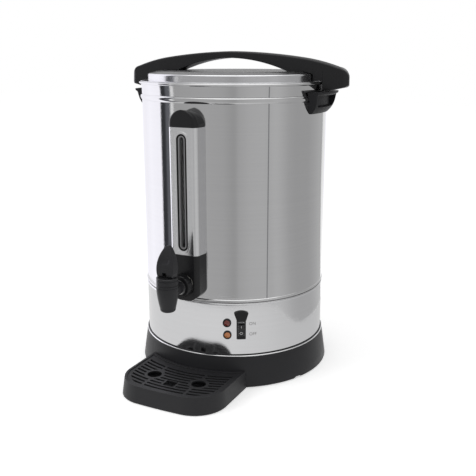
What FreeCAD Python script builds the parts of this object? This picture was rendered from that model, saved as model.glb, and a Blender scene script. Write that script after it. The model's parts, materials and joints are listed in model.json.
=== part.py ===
"""Hot water urn with a lever tap, a sight gauge, a lift-off lid and a drip tray.

Frame: +Z up, the urn's axis on Z, the surface it stands on at z = 0, the tap towards -Y, millimetres.
Every piece is a solid of its own, written to parts/NAME.step.
"""

import FreeCAD
import Part
import math
import os

V = FreeCAD.Vector

# Driving dimensions, millimetres and degrees

BODY_R = 145.0            # outside of the tank and of the band below it
SHEET = 0.8               # wall of the tank and the band
FOOT_H = 1.0              # the foot ring stands this much proud of the base
BASE_H = 49.3
BASE_TOP = FOOT_H + BASE_H
BASE_OUT = 2.3            # base outside the band, at its top edge
BASE_FLARE = 7.2
BASE_R_TOP = BODY_R + BASE_OUT
BASE_R_LOW = BASE_R_TOP + BASE_FLARE
BASE_WALL = 3.0
BASE_FLANGE = 15.5        # bottom flange, from the base's outside inwards
BASE_LIP = 1.6            # ledge's rise above the base's top edge
BASE_LEDGE = 4.3          # depth of the seat that holds the band
NOTCH_ANGLE = 66.7
NOTCH_HALF_W = 6.0
NOTCH_H = 2.2
RING_H = 1.8              # bright ring round the top edge of the base
RING_PROUD = 0.5
RING_SEAT = 1.2
BAND_H = 83.7
SEAM_Z = BASE_TOP + BAND_H  # joint of band and tank
SEAM_BEAD = 1.8
TANK_H = 296.4
BEAD_Z = SEAM_Z + TANK_H  # rounded bead under the neck
BEAD_H = 4.4
BEAD_OUT = 2.2
NECK_R = BODY_R + 1.0
NECK_H = 23.1
RIM_Z = BEAD_Z + NECK_H   # top of the rolled rim
RIM_ROLL = 1.9            # radius of the rolled rim
TANK_FLOOR_Z = SEAM_Z + 7.0
FLOOR_SHEET = 1.2

LID_R = NECK_R - 11.05    # upstand of the lid
LID_RISE = 11.8
LID_CROWN = 3.1
LID_EDGE_Z = RIM_Z + LID_RISE
LID_TOP_Z = LID_EDGE_Z + LID_CROWN
LID_ROUND = 3.0
LID_DECK_R = LID_R - 15.95
LID_GROOVE = 0.9          # depth of the groove round the deck
LID_FLANGE_R = NECK_R + 0.6
LID_SKIRT_R = NECK_R - 2.8
LID_SKIRT_DROP = 9.0
LID_SHEET = 0.8

HANDLE_TIP = BODY_R + 42.5  # half length of the lid handle
HANDLE_RISE = 29.3        # top of the arch over the lid
HANDLE_TOP_Z = LID_TOP_Z + HANDLE_RISE
SPACE_TOP = HANDLE_TOP_Z + 100.0  # height that cutting tools reach
HANDLE_THICK = 10.2       # at the middle of the arch
HANDLE_HALF_W = 17.0      # half width at the middle
HANDLE_TIP_HALF_W = 10.5
HANDLE_GAP_HALF = LID_DECK_R - 24.0  # half length of the finger gap at the lid
HANDLE_GAP_BEND = 41.0    # where the gap's arch is bent most, from its end
HANDLE_GAP_SAG = 6.3
HANDLE_EASE = 2.6
HANDLE_SCREW_X = HANDLE_GAP_HALF + 5.0
HANDLE_SCREW_Y = 7.0
# Top line of the handle: distances in from the tip, and below the top
HANDLE_BROW_IN, HANDLE_BROW_DOWN = 127.5, 3.1
HANDLE_BACK_IN, HANDLE_BACK_DOWN = 75.5, 8.7
HANDLE_FALL_IN, HANDLE_FALL_DOWN = 37.5, 16.1
HANDLE_END_IN, HANDLE_END_DOWN = 15.5, 22.7
HANDLE_NOSE_IN, HANDLE_NOSE_DOWN = 4.9, 28.0
HANDLE_FACE_DOWN = 36.4
HANDLE_TIP_ROUND = 8.0    # how far the plan of each end bows out
HANDLE_CHIN_IN, HANDLE_CHIN_DOWN = 4.5, 51.7
HANDLE_JAW_DOWN = 48.9
HANDLE_OVER_EAR = 0.9     # clearance over the side handles

EAR_TOP_Z = BEAD_Z + 9.2  # top of the side handles
EAR_H = 31.5
EAR_LOW_Z = EAR_TOP_Z - EAR_H
EAR_REACH = BODY_R + 18.0
EAR_HALF_TOP = 45.5
EAR_HALF_LOW = 34.5
EAR_WALL = 5.0
EAR_SCREW_Z = EAR_LOW_Z + 8.5
EAR_SCREW_Y = EAR_HALF_LOW - 10.5

GAUGE_HALF_W = 25.5
GAUGE_DEPTH = 22.0
GAUGE_FRONT = BODY_R + GAUGE_DEPTH  # front plane of the gauge cover, from the axis
GAUGE_CORNER = 8.0
GAUGE_LEAN = 2.4          # how far the casing's sides close in towards the front
GAUGE_SHEET = 1.0
CAP_RISE = 24.5
CAP_BACK_RISE = 21.0      # the cap falls towards the wall
CAP_SPRING = 5.0          # its sides are upright this far
FOOT_HOUSING_LOW = SEAM_Z + 6.4
FOOT_HOUSING_RISE = 16.0
FOOT_HOUSING_H = 69.6
GAUGE_LOW_Z = FOOT_HOUSING_LOW + FOOT_HOUSING_H
GAUGE_HIGH_Z = BEAD_Z - 35.9
HOUSING_WALL = 2.5
WINDOW_HALF_W = 8.1
WINDOW_LOW_Z = GAUGE_LOW_Z + 6.3
WINDOW_HIGH_Z = GAUGE_HIGH_Z - 8.8
WINDOW_BORDER = 3.2
GASKET_WALL = 2.4
LINER_WALL = 2.0          # pale ring inside the gasket
TUBE_R = 5.25
TUBE_WALL = 1.2
TUBE_OUT = 11.0
TUBE_Y = BODY_R + TUBE_OUT  # distance of the tube's axis from the urn's axis
RISER_R = TUBE_R + 2.6
CAP_SCREW_Z = GAUGE_HIGH_Z + 8.0

SHANK_Z = FOOT_HOUSING_LOW + 24.6
SHANK_R = 10.9
SHANK_BORE = 6.5
SHANK_FIT = 0.1
INLET_R = 9.4             # outside of the tap body's inlet
SHANK_INNER = BODY_R - 19.0
UNION_SEAL = 1.5
TAP_NUT_LENGTH = 13.5
TAP_NUT_R = 16.8
TAP_NUT_FLUTES = 12
FLUTE_R = 2.0
SHANK_OUTER = GAUGE_FRONT + UNION_SEAL + TAP_NUT_LENGTH
TUBE_LOW_Z = SHANK_Z + 11.0
TUBE_HIGH_Z = GAUGE_HIGH_Z + 8.5
TAP_REACH = 31.0          # from the shank's end to the tap's axis
TAP_Y = SHANK_OUTER + TAP_REACH  # distance of the tap's axis from the urn's axis
SPOUT_LOW_Z = SHANK_Z - 26.0
SPOUT_LIP_R = 8.9
SPOUT_LOW_R = 11.3
SPOUT_ROUND = 4.5         # height of the rounded lower edge
SPOUT_BULGE = 0.8
SPOUT_TOP_Z = SHANK_Z + 9.9
SPOUT_TOP_R = 16.1
SPOUT_BORE = 7.8
SEAT_Z = SHANK_Z - 12.0
SEAT_BORE = 6.2
SEAT_THICK = 2.0
CHAMBER_R = 9.8
COLLAR_R = 15.6
COLLAR_TOP_Z = SPOUT_TOP_Z + 15.0
COLLAR_PLUG = 7.0         # depth of the bonnet inside the chamber
STEM_R = 3.0
RUN_FIT = 0.06            # radial clearance of turning and sliding fits
PIN_R = 1.6
PIN_INSET = 2.5
LEVER_LOW_Z = COLLAR_TOP_Z + 0.7
PIN_Z = LEVER_LOW_Z + 6.4
LEVER_TOP_Z = LEVER_LOW_Z + 44.0
LEVER_HALF_W = 13.5
LEVER_DEPTH = 14.0
LEVER_TIP = 3.6
LEVER_LEAN = 5.5          # how far the tip leans back
DIMPLE_R = 15.0
DIMPLE_DEPTH = 0.9
CUP_R = 8.4
CUP_H = 6.0
CUP_FLOOR = 1.5
SPRING_WIRE = 0.5
SPRING_MEAN_R = 4.9
SPRING_TURNS = 5

SWITCH_ANGLE = 30.3
SWITCH_Z = BASE_TOP + 42.2
SWITCH_HALF_H = 15.5
SWITCH_HALF_W = 7.0
SWITCH_OUT = 2.2          # bezel's height over the band
SWITCH_AXLE_R = 1.5
SWITCH_AXLE_DEPTH = 4.0   # axle's distance inside the band
ROCKER_TILT = 10.0
HOOD_TOP_Z = SWITCH_Z + 29.8
HOOD_HALF_TOP = 10.9
HOOD_ARCH = 3.6
LAMP_R = 6.5
LAMP_RIM = 1.9
LAMP_ANGLES = {"heating": 21.9, "ready": 22.1}
LAMP_ZS = {"heating": SWITCH_Z + 10.2, "ready": SWITCH_Z - 9.0}

TRAY_H = 25.8
TRAY_TOP_Z = FOOT_H + TRAY_H
TRAY_DRAFT = 2.7
TRAY_HALF_LOW = 84.5
TRAY_HALF_TOP = TRAY_HALF_LOW - TRAY_DRAFT
TRAY_REACH = 92.5         # from the base to the tray's front
TRAY_FRONT_LOW = BASE_R_LOW + TRAY_REACH
TRAY_FRONT_TOP = TRAY_FRONT_LOW - TRAY_DRAFT
TRAY_BACK = BASE_R_LOW - 54.5  # where the plan's sides start, well inside the base
TRAY_CORNER = 49.0
TRAY_BOW = 0.8            # how far the front edge bows out
TRAY_WALL = 3.5
TRAY_FLOOR = 3.0
TRAY_GAP = 0.5            # from the tray's back to the base
TRAY_BACK_RIM = 1.5
GRILLE_INSET = 4.0
GRILLE_THICK = 2.0
GRILLE_DROP = 1.0         # grille's top below the tray's rim
GRILLE_PLAY = 0.4
GRILLE_FIRST_R = BASE_R_LOW + 15.5
GRILLE_PITCH = 7.95
GRILLE_ROWS = 9
GRILLE_SLOT = 4.0
GRILLE_RIB_X = 35.0
GRILLE_RIB = 4.5
GRILLE_EDGE = 5.5
GRILLE_HOLE_R = 11.0
GRILLE_HOLE_X = 38.0
GRILLE_HOLE_Y = BASE_R_LOW + 40.5
GRILLE_HOLE_RIM = 4.5
DRAIN_HALF_W = 9.0
DRAIN_HALF_D = 8.0
DRAIN_Y = BASE_R_LOW + 58.0
TONGUE_X = 41.0
TONGUE_HALF_W = 7.0
TONGUE_Z = 12.0
TONGUE_THICK = 3.0
TONGUE_INNER = BASE_R_LOW - 15.5
TONGUE_OUTER = BASE_R_LOW + 2.5
TONGUE_PLAY = 0.35
TRAY_FOOT_R = 6.0

FOOT_RING_R = BASE_R_LOW - 9.5
FOOT_RING_W = 9.0
COVER_Z = FOOT_H + 2.0    # underside of the steel bottom cover
COVER_THICK = 1.2
COVER_R = BASE_R_LOW - 6.0
COVER_FIT = 1.0
PILLAR_R = 5.0
SCREW_R = 2.5
SCREW_HEAD_R = 4.6
SCREW_HEAD_H = 2.6
HEAT_PLATE_R = 82.0
HEAT_PLATE_THICK = 5.0
PILLAR_PCD_R = HEAT_PLATE_R + 10.0
ELEMENT_R = 58.0
ELEMENT_TUBE_R = 4.2
ELEMENT_END_X = 16.5      # the cold ends, either side of the middle
ELEMENT_END_H = 24.0
THERMOSTAT_X = 14.0
THERMOSTAT_R = 9.5
THERMOSTAT_H = 12.0
BLADE_X = 4.0             # either side of a thermostat's middle
BRIDGE_HALF = 30.0
BRIDGE_HALF_W = 6.0
BRIDGE_SHEET = 1.0
TERMINAL_Y = BODY_R - 43.0  # behind the axis
TERMINAL_HALF_W = 22.0
TERMINAL_HALF_D = 10.0
TERMINAL_H = 18.0
TERMINAL_PITCH = 14.0
TERMINAL_BORE_R = 2.6
GLAND_Z = BASE_TOP + 27.7
GLAND_R = 10.0
GLAND_BORE_R = 4.0
LEAD_R = 1.6

# Shape helpers


def at(x, y, z=0.0):
    """A point."""
    return V(x, y, z)


def in_rz(a, b):
    """Profile coordinates radius and height, on the XZ plane."""
    return V(a, 0, b)


def in_xy(a, b):
    """Plan coordinates: a to the right, b towards the front."""
    return V(a, -b, 0)


def in_xz(a, b):
    """Front elevation."""
    return V(a, 0, b)


def in_yz(a, b):
    """Side elevation: a towards the front, b up."""
    return V(0, -a, b)


def wire(path, place):
    """A closed wire. A step of two numbers is a straight run, one of four an arc through its first pair."""
    edges = []
    here = path[0]
    for step in list(path[1:]) + [path[0]]:
        end = step[-2:]
        a, b = place(*here), place(*end)
        if a.distanceToPoint(b) > 1e-6:
            if len(step) == 4:
                edges.append(Part.Arc(a, place(*step[:2]), b).toShape())
            else:
                edges.append(Part.makeLine(a, b))
        here = end
    return Part.Wire(edges)


def face(path, place):
    """A flat face inside a closed path."""
    return Part.Face(wire(path, place))


def turned(path):
    """A solid turned about the urn's axis from a radius-height profile."""
    return face(path, in_rz).revolve(V(0, 0, 0), V(0, 0, 1), 360)


def sheet_profile(path, thick):
    """A turned sheet: the path is its outside, and its inside lies thick closer to the axis."""
    inner = [tuple(c - thick if i % 2 == 0 else c for i, c in enumerate(step)) for step in path]
    back = [inner[-1][-2:]]
    for k in range(len(inner) - 1, 0, -1):
        end = inner[k - 1][-2:]
        back.append(inner[k][:2] + end if len(inner[k]) == 4 else end)
    return list(path) + back


def upright(path, low, high):
    """A vertical prism over a plan path."""
    solid = face(path, in_xy).extrude(V(0, 0, high - low))
    solid.translate(V(0, 0, low))
    return solid


def frontal(path, near, far):
    """A prism along Y over a front elevation, from distance near to distance far in front of the axis."""
    solid = face(path, in_xz).extrude(V(0, -(far - near), 0))
    solid.translate(V(0, -near, 0))
    return solid


def sideways(path, half):
    """A prism along X over a side elevation, to half each way."""
    solid = face(path, in_yz).extrude(V(2 * half, 0, 0))
    solid.translate(V(-half, 0, 0))
    return solid


def block(x0, x1, front0, front1, z0, z1):
    """A box between two distances in front of the axis."""
    return Part.makeBox(x1 - x0, front1 - front0, z1 - z0, at(x0, -front1, z0))


def rod(x, front, z0, z1, radius):
    """An upright cylinder."""
    return Part.makeCylinder(radius, z1 - z0, at(x, -front, z0))


def rod_out(x, z, near, far, radius):
    """A cylinder that runs towards the front."""
    return Part.makeCylinder(radius, far - near, at(x, -near, z), V(0, -1, 0))


def rod_side(front, z, x0, x1, radius):
    """A cylinder along X."""
    return Part.makeCylinder(radius, x1 - x0, at(x0, -front, z), V(1, 0, 0))


def drum(radius, low=0.0, high=SPACE_TOP):
    """A full cylinder about the urn's axis."""
    return Part.makeCylinder(radius, high - low, at(0, 0, low))


def around(solid, angle):
    """The solid turned about the urn's axis, counted from the front towards the right."""
    copy = solid.copy()
    copy.rotate(V(0, 0, 0), V(0, 0, 1), angle)
    return copy


def round_slot(half_w, low, high):
    """Front elevation of an upright slot with round ends."""
    a, b = low + half_w, high - half_w
    return [(-half_w, a), (0, low, half_w, a), (half_w, b), (0, high, -half_w, b)]


def group(solids):
    """Several separate solids as one node."""
    return Part.Compound(solids)


def eased(solid, radius, choose):
    """Fillet the edges that choose picks."""
    return solid.makeFillet(radius, [e for e in solid.Edges if choose(e)])


def tube_along(points, radius):
    """A round lead along straight runs joined by tangent arcs."""
    pts = [V(*p) for p in points]
    edges = []
    here = pts[0]
    for k in range(1, len(pts) - 1):
        into = (pts[k] - pts[k - 1]).normalize()
        out = (pts[k + 1] - pts[k]).normalize()
        run = min(pts[k].distanceToPoint(pts[k - 1]), pts[k + 1].distanceToPoint(pts[k]))
        half = into.getAngle(out) / 2
        back = 0.45 * run
        start, end = pts[k] - into * back, pts[k] + out * back
        bend = back / math.tan(half)
        middle = pts[k] + (out - into).normalize() * (bend / math.cos(half) - bend)
        edges.append(Part.makeLine(here, start))
        edges.append(Part.Arc(start, middle, end).toShape())
        here = end
    edges.append(Part.makeLine(here, pts[-1]))
    path = Part.Wire(edges)
    first = (pts[1] - pts[0]).normalize()
    ring = Part.Wire([Part.makeCircle(radius, pts[0], first)])
    return path.makePipeShell([ring], True, False)


def coil(radius, wire_r, low, high, turns):
    """A compression spring that stands between two heights on the tap's axis."""
    helix = Part.makeHelix((high - low - 2 * wire_r) / turns, high - low - 2 * wire_r, radius)
    start = V(radius, 0, 0)
    ring = Part.Wire([Part.makeCircle(wire_r, start, V(0, 1, 0))])
    solid = Part.Wire(helix.Edges).makePipeShell([ring], True, True)
    solid.translate(at(0, -TAP_Y, low + wire_r))
    return solid


# Tank, band and base


def base_radius(z):
    """Outside of the base at a height."""
    return BASE_R_LOW - (z - FOOT_H) * (BASE_R_LOW - BASE_R_TOP) / (BASE_TOP - FOOT_H)


def upper_shell():
    """Tank wall with its seam bead, upper bead, flared neck and rolled rim."""
    rim_r = NECK_R + RIM_ROLL - SHEET
    path = [
        (BODY_R, SEAM_Z),
        (BODY_R, SEAM_Z + 1.3),
        (BODY_R + 1.3, SEAM_Z + 1.3 + SEAM_BEAD, BODY_R, SEAM_Z + 1.3 + 2 * SEAM_BEAD),
        (BODY_R, BEAD_Z - BEAD_H),
        (BODY_R + BEAD_OUT, BEAD_Z, BODY_R, BEAD_Z + BEAD_H),
        (NECK_R, RIM_Z - 2 * RIM_ROLL),
        (NECK_R, RIM_Z - RIM_ROLL),
    ]
    wall = turned(sheet_profile(path, SHEET))
    roll = Part.makeTorus(rim_r, RIM_ROLL, at(0, 0, RIM_Z - RIM_ROLL))
    shell = wall.fuse(roll)
    shell = shell.cut(rod_out(0, SHANK_Z, BODY_R - 10, BODY_R + 5, SHANK_R + SHANK_FIT))
    shell = shell.cut(rod_out(0, CAP_SCREW_Z, BODY_R - 10, BODY_R + 5, SCREW_R + SHANK_FIT))
    for side in (-1, 1):
        for y in (-EAR_SCREW_Y, EAR_SCREW_Y):
            hole = Part.makeCylinder(
                SCREW_R + SHANK_FIT, 20, at(side * (BODY_R - 12), y, EAR_SCREW_Z), V(side, 0, 0)
            )
            shell = shell.cut(hole)
    return shell.removeSplitter()


def tank_bottom():
    """Dished tank floor, its skirt lapping the seam inside tank and band."""
    r = BODY_R - SHEET
    low = SEAM_Z - 12
    return turned(
        [
            (0, TANK_FLOOR_Z),
            (r - 16, TANK_FLOOR_Z),
            (r - 7, TANK_FLOOR_Z + 3),
            (r, TANK_FLOOR_Z + 3),
            (r, low),
            (r - FLOOR_SHEET, low),
            (r - FLOOR_SHEET, TANK_FLOOR_Z + 3 - FLOOR_SHEET),
            (r - 6.6, TANK_FLOOR_Z + 3 - FLOOR_SHEET),
            (r - 15.6, TANK_FLOOR_Z - FLOOR_SHEET),
            (0, TANK_FLOOR_Z - FLOOR_SHEET),
        ]
    )


def lower_band():
    """Steel band between base and seam, with the openings for switch, lamps and cable gland."""
    low = BASE_TOP - BASE_LEDGE
    path = [
        (BODY_R, low),
        (BODY_R, SEAM_Z - 3.8),
        (BODY_R + 1.0, SEAM_Z - 2.6, BODY_R, SEAM_Z - 1.4),
        (BODY_R, SEAM_Z),
    ]
    band = turned(sheet_profile(path, SHEET))
    near, far = BODY_R - 8, BODY_R + 8
    cutout = block(
        -SWITCH_HALF_W + 1.4, SWITCH_HALF_W - 1.4, near, far,
        SWITCH_Z - SWITCH_HALF_H + 2.4, SWITCH_Z + SWITCH_HALF_H - 2.4,
    )
    band = band.cut(around(cutout, SWITCH_ANGLE))
    for name, angle in LAMP_ANGLES.items():
        band = band.cut(around(rod_out(0, LAMP_ZS[name], near, far, LAMP_R - 1.0), angle))
    band = band.cut(around(rod_out(0, GLAND_Z, near, far, GLAND_R), 180))
    return band


def base_trim_ring():
    """Bright ring let into the top edge of the base."""
    r0, r1 = BODY_R + RING_SEAT, BASE_R_TOP + RING_PROUD
    high = BASE_TOP + 0.1
    low = high - RING_H
    mid = (low + high) / 2
    return turned([(r0, low), (r1 - 0.6, low), (r1, mid, r1 - 0.6, high), (r0, high)])


def base_moulding():
    """Flared plastic base: ledge for the band, bottom flange, tray slots and the notch in its edge."""
    low, top = FOOT_H, BASE_TOP
    ring_low = top + 0.1 - RING_H
    slant = base_radius(ring_low)
    inner = base_radius(low + 6) - BASE_WALL
    base = turned(
        [
            (BASE_R_LOW - 2.5, low),
            (BASE_R_LOW - 0.5, low + 0.4, BASE_R_LOW - 0.3, low + 2.2),
            (slant, ring_low),
            (BODY_R + RING_SEAT, ring_low),
            (BODY_R + RING_SEAT, top + BASE_LIP),
            (BODY_R, top + BASE_LIP),
            (BODY_R, top - BASE_LEDGE),
            (BODY_R - 2.6, top - BASE_LEDGE),
            (BODY_R - 2.6, top - 8),
            (base_radius(top - 8) - BASE_WALL, top - 8),
            (inner, low + 6),
            (BASE_R_LOW - BASE_FLANGE, low + 6),
            (BASE_R_LOW - BASE_FLANGE, COVER_Z + COVER_THICK),
            (COVER_R + COVER_FIT, COVER_Z + COVER_THICK),
            (COVER_R + COVER_FIT, low),
        ]
    )
    for x in (-TONGUE_X, TONGUE_X):
        half = TONGUE_HALF_W + TONGUE_PLAY
        low_z, high_z = TONGUE_Z - TONGUE_PLAY, TONGUE_Z + TONGUE_THICK + TONGUE_PLAY
        slot = block(x - half, x + half, TONGUE_INNER - 9, TONGUE_OUTER + 13, low_z, high_z)
        base = base.cut(slot)
    notch = block(-NOTCH_HALF_W, NOTCH_HALF_W, BASE_R_LOW - 8, BASE_R_LOW + 5, 0, FOOT_H + NOTCH_H)
    return base.cut(around(notch, NOTCH_ANGLE))


def cover_screw_spots():
    """Centres of the pillars in plan, as x and distance to the front."""
    return [
        (PILLAR_PCD_R * math.cos(math.radians(a)), PILLAR_PCD_R * math.sin(math.radians(a)))
        for a in (45, 135, 225, 315)
    ]


def bottom_cover():
    """Steel disc that closes the base."""
    disc = drum(COVER_R, COVER_Z, COVER_Z + COVER_THICK)
    for x, front in cover_screw_spots():
        disc = disc.cut(rod(x, front, 0, 10, SCREW_R + 0.3))
    return disc


def foot_ring():
    """Rubber ring that the urn stands on."""
    inner = FOOT_RING_R - FOOT_RING_W
    return turned([(inner, 0), (FOOT_RING_R, 0), (FOOT_RING_R, COVER_Z), (inner, COVER_Z)])


def base_pillars():
    """Pillars welded under the tank floor, drilled for the cover's screws."""
    pillars = []
    for x, front in cover_screw_spots():
        post = rod(x, front, COVER_Z + COVER_THICK, TANK_FLOOR_Z - FLOOR_SHEET, PILLAR_R)
        pillars.append(post.cut(rod(x, front, 0, COVER_Z + COVER_THICK + 16, SCREW_R)))
    return group(pillars)


def base_screws():
    """Screws that hold cover and base to the pillars."""
    screws = []
    for x, front in cover_screw_spots():
        head = rod(x, front, COVER_Z - SCREW_HEAD_H, COVER_Z, SCREW_HEAD_R)
        screws.append(head.fuse(rod(x, front, COVER_Z - 0.1, COVER_Z + COVER_THICK + 15, SCREW_R)))
    return group(screws)


# Heating and wiring


HEAT_LOW = TANK_FLOOR_Z - FLOOR_SHEET - HEAT_PLATE_THICK
ELEMENT_Z = HEAT_LOW - 1.0


def element_solid():
    """Ring element with two cold ends that hang down."""
    ring = Part.makeTorus(ELEMENT_R, ELEMENT_TUBE_R, at(0, 0, ELEMENT_Z))
    half = ELEMENT_END_X - 2.5
    gap = block(-half, half, -ELEMENT_R - 12, -ELEMENT_R + 14, ELEMENT_Z - 8, ELEMENT_Z + 8)
    body = ring.cut(gap)
    for x in (-ELEMENT_END_X, ELEMENT_END_X):
        y = math.sqrt(ELEMENT_R ** 2 - x ** 2)
        body = body.fuse(rod(x, -y, ELEMENT_Z - ELEMENT_END_H, ELEMENT_Z, ELEMENT_TUBE_R))
    return body.removeSplitter()


def heat_plate():
    """Aluminium plate clamped under the tank floor, grooved for the element."""
    plate = drum(HEAT_PLATE_R, HEAT_LOW, TANK_FLOOR_Z - FLOOR_SHEET)
    return plate.cut(element_solid())


def thermostat(x):
    """A disc thermostat against the heat plate, with two blades."""
    low = HEAT_LOW - THERMOSTAT_H
    body = rod(x, 0, low, HEAT_LOW, THERMOSTAT_R)
    for dx in (-BLADE_X, BLADE_X):
        body = body.fuse(block(x + dx - 0.4, x + dx + 0.4, -3, 3, low - 8, low + 0.5))
    return body


def thermostat_bridge():
    """Spring strip that holds both thermostats up against the plate."""
    under = HEAT_LOW - THERMOSTAT_H
    t, half, w = BRIDGE_SHEET, BRIDGE_HALF, BRIDGE_HALF_W
    strip = block(-half, half, -w, w, under - t, under)
    strip = strip.fuse([block(x, x + t, -w, w, under - t, HEAT_LOW) for x in (-half, half - t)])
    for x in (-THERMOSTAT_X, THERMOSTAT_X):
        for dx in (-BLADE_X, BLADE_X):
            strip = strip.cut(block(x + dx - 1.2, x + dx + 1.2, 2 - w, w - 2, under - 2 * t, under + 1))
    return strip.removeSplitter()


def terminal_block():
    """Three-way block on the bottom cover."""
    low = COVER_Z + COVER_THICK
    y0, y1 = -TERMINAL_Y - TERMINAL_HALF_D, -TERMINAL_Y + TERMINAL_HALF_D
    body = block(-TERMINAL_HALF_W, TERMINAL_HALF_W, y0, y1, low, low + TERMINAL_H)
    for x in (-TERMINAL_PITCH, 0, TERMINAL_PITCH):
        body = body.cut(rod(x, -TERMINAL_Y, low + 8, low + TERMINAL_H + 2, TERMINAL_BORE_R))
    return body


def internal_leads():
    """Leads from the gland to the block, and from the block to the element's ends."""
    low = COVER_Z + COVER_THICK
    leads = []
    y_end = math.sqrt(ELEMENT_R ** 2 - ELEMENT_END_X ** 2)
    for side in (-1, 1):
        x, target = side * TERMINAL_PITCH, side * ELEMENT_END_X
        route = [
            (x, TERMINAL_Y, low + 8),
            (x, TERMINAL_Y, low + 36),
            (x, TERMINAL_Y - 20, low + 56),
            (target, y_end, low + 64),
            (target, y_end, ELEMENT_Z - ELEMENT_END_H),
        ]
        leads.append(tube_along(route, LEAD_R))
    route = [
        (0, BODY_R - 17, GLAND_Z),
        (0, BODY_R - 29, GLAND_Z),
        (0, TERMINAL_Y + 2, GLAND_Z - 14),
        (0, TERMINAL_Y, GLAND_Z - 34),
        (0, TERMINAL_Y, low + 8),
    ]
    leads.append(tube_along(route, LEAD_R))
    return group(leads)


def cable_gland():
    """Gland at the back of the band."""
    flange = rod_out(0, GLAND_Z, BODY_R - 0.6, BODY_R + 6, GLAND_R + 4)
    flange = flange.cut(drum(BODY_R))
    barrel = rod_out(0, GLAND_Z, BODY_R - 17, BODY_R + 6, GLAND_R)
    nose = Part.makeCone(GLAND_R + 1, GLAND_R - 3, 12, at(0, -BODY_R - 6, GLAND_Z), V(0, -1, 0))
    body = barrel.fuse([flange, nose]).cut(rod_out(0, GLAND_Z, BODY_R - 10, BODY_R + 30, GLAND_BORE_R))
    return around(body.removeSplitter(), 180)


def gland_nut():
    """Hexagonal nut inside the band."""
    r = GLAND_R + 5
    turns = [math.radians(60 * k) for k in range(6)]
    points = [(r * math.cos(a), GLAND_Z + r * math.sin(a)) for a in turns]
    nut = frontal(points, BODY_R - 8, BODY_R - 3).cut(rod_out(0, GLAND_Z, BODY_R - 20, BODY_R, GLAND_R))
    return around(nut, 180)


# Switch and lamps


def switch_frame():
    """Rocker switch housing with its bezel on the band."""
    low, high = SWITCH_Z - SWITCH_HALF_H, SWITCH_Z + SWITCH_HALF_H
    front = BODY_R + SWITCH_OUT
    bezel = block(-SWITCH_HALF_W, SWITCH_HALF_W, BODY_R - 2, front, low, high)
    bezel = eased(bezel, 1.4, lambda e: abs(e.BoundBox.YLength - SWITCH_OUT - 2) < 0.01)
    bezel = bezel.cut(drum(BODY_R))
    half = SWITCH_HALF_W - 1.5
    barrel = block(-half, half, BODY_R - 22, front - 0.6, low + 2.5, high - 2.5)
    frame = bezel.fuse(barrel)
    half = SWITCH_HALF_W - 2.25
    well = block(-half, half, BODY_R - 14, front + 5, low + 3.4, high - 3.4)
    frame = frame.cut(well)
    reach, axle = SWITCH_HALF_W - 1, BODY_R - SWITCH_AXLE_DEPTH
    frame = frame.cut(rod_side(axle, SWITCH_Z, -reach, reach, SWITCH_AXLE_R + RUN_FIT))
    return around(frame.removeSplitter(), SWITCH_ANGLE)


def switch_rocker():
    """Rocker on its stub axle, resting on its lower position."""
    front, mid, h = BODY_R + SWITCH_OUT, BODY_R - SWITCH_AXLE_DEPTH, SWITCH_HALF_H
    profile = [
        (mid - 4, SWITCH_Z - h + 7.5),
        (front - 1.2, SWITCH_Z - h + 4.6),
        (front + 1.6, SWITCH_Z - h + 5.6),
        (front + 0.2, SWITCH_Z),
        (front + 1.6, SWITCH_Z + h - 5.6),
        (front - 1.2, SWITCH_Z + h - 4.6),
        (mid - 4, SWITCH_Z + h - 7.5),
    ]
    axle = rod_side(mid, SWITCH_Z, -SWITCH_HALF_W + 1.7, SWITCH_HALF_W - 1.7, SWITCH_AXLE_R)
    rocker = sideways(profile, SWITCH_HALF_W - 2.5).fuse(axle)
    rocker.rotate(at(0, -mid, SWITCH_Z), V(1, 0, 0), ROCKER_TILT)
    return around(rocker.removeSplitter(), SWITCH_ANGLE)


def switch_hood():
    """Fan-shaped drip hood over the switch."""
    low = SWITCH_Z + SWITCH_HALF_H + 0.3
    fan = frontal(
        [
            (-SWITCH_HALF_W, low),
            (SWITCH_HALF_W, low),
            (HOOD_HALF_TOP, HOOD_TOP_Z - HOOD_ARCH),
            (0, HOOD_TOP_Z, -HOOD_HALF_TOP, HOOD_TOP_Z - HOOD_ARCH),
        ],
        BODY_R - 5,
        BODY_R + 12,
    )
    top = HOOD_TOP_Z + 1
    side = [(BODY_R - 5, low), (BODY_R + 7.5, low), (BODY_R + 2.0, top), (BODY_R - 5, top)]
    slope = sideways(side, 2 * HOOD_HALF_TOP)
    hood = fan.common(slope).cut(drum(BODY_R))
    return around(hood, SWITCH_ANGLE)


def lamp_bezel(name):
    """Dark lamp holder through the band."""
    z = LAMP_ZS[name]
    rim = rod_out(0, z, BODY_R - 2, BODY_R + 2.0, LAMP_R).cut(drum(BODY_R))
    barrel = rod_out(0, z, BODY_R - 16, BODY_R + 1.0, LAMP_R - 1.1)
    body = rim.fuse(barrel).cut(rod_out(0, z, BODY_R - 12, BODY_R + 10, LAMP_R - LAMP_RIM))
    return around(body.removeSplitter(), LAMP_ANGLES[name])


def lamp_lens(name):
    """Domed lens in its holder."""
    z, r = LAMP_ZS[name], LAMP_R - LAMP_RIM
    ball = Part.makeSphere(r * 1.5, at(0, -(BODY_R + 3.4 - r * 1.5), z))
    lens = rod_out(0, z, BODY_R - 12, BODY_R + 6, r).common(
        ball.fuse(rod_out(0, z, BODY_R - 14, BODY_R - 1, r + 1))
    )
    return around(lens.removeSplitter(), LAMP_ANGLES[name])


# Sight gauge


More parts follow.
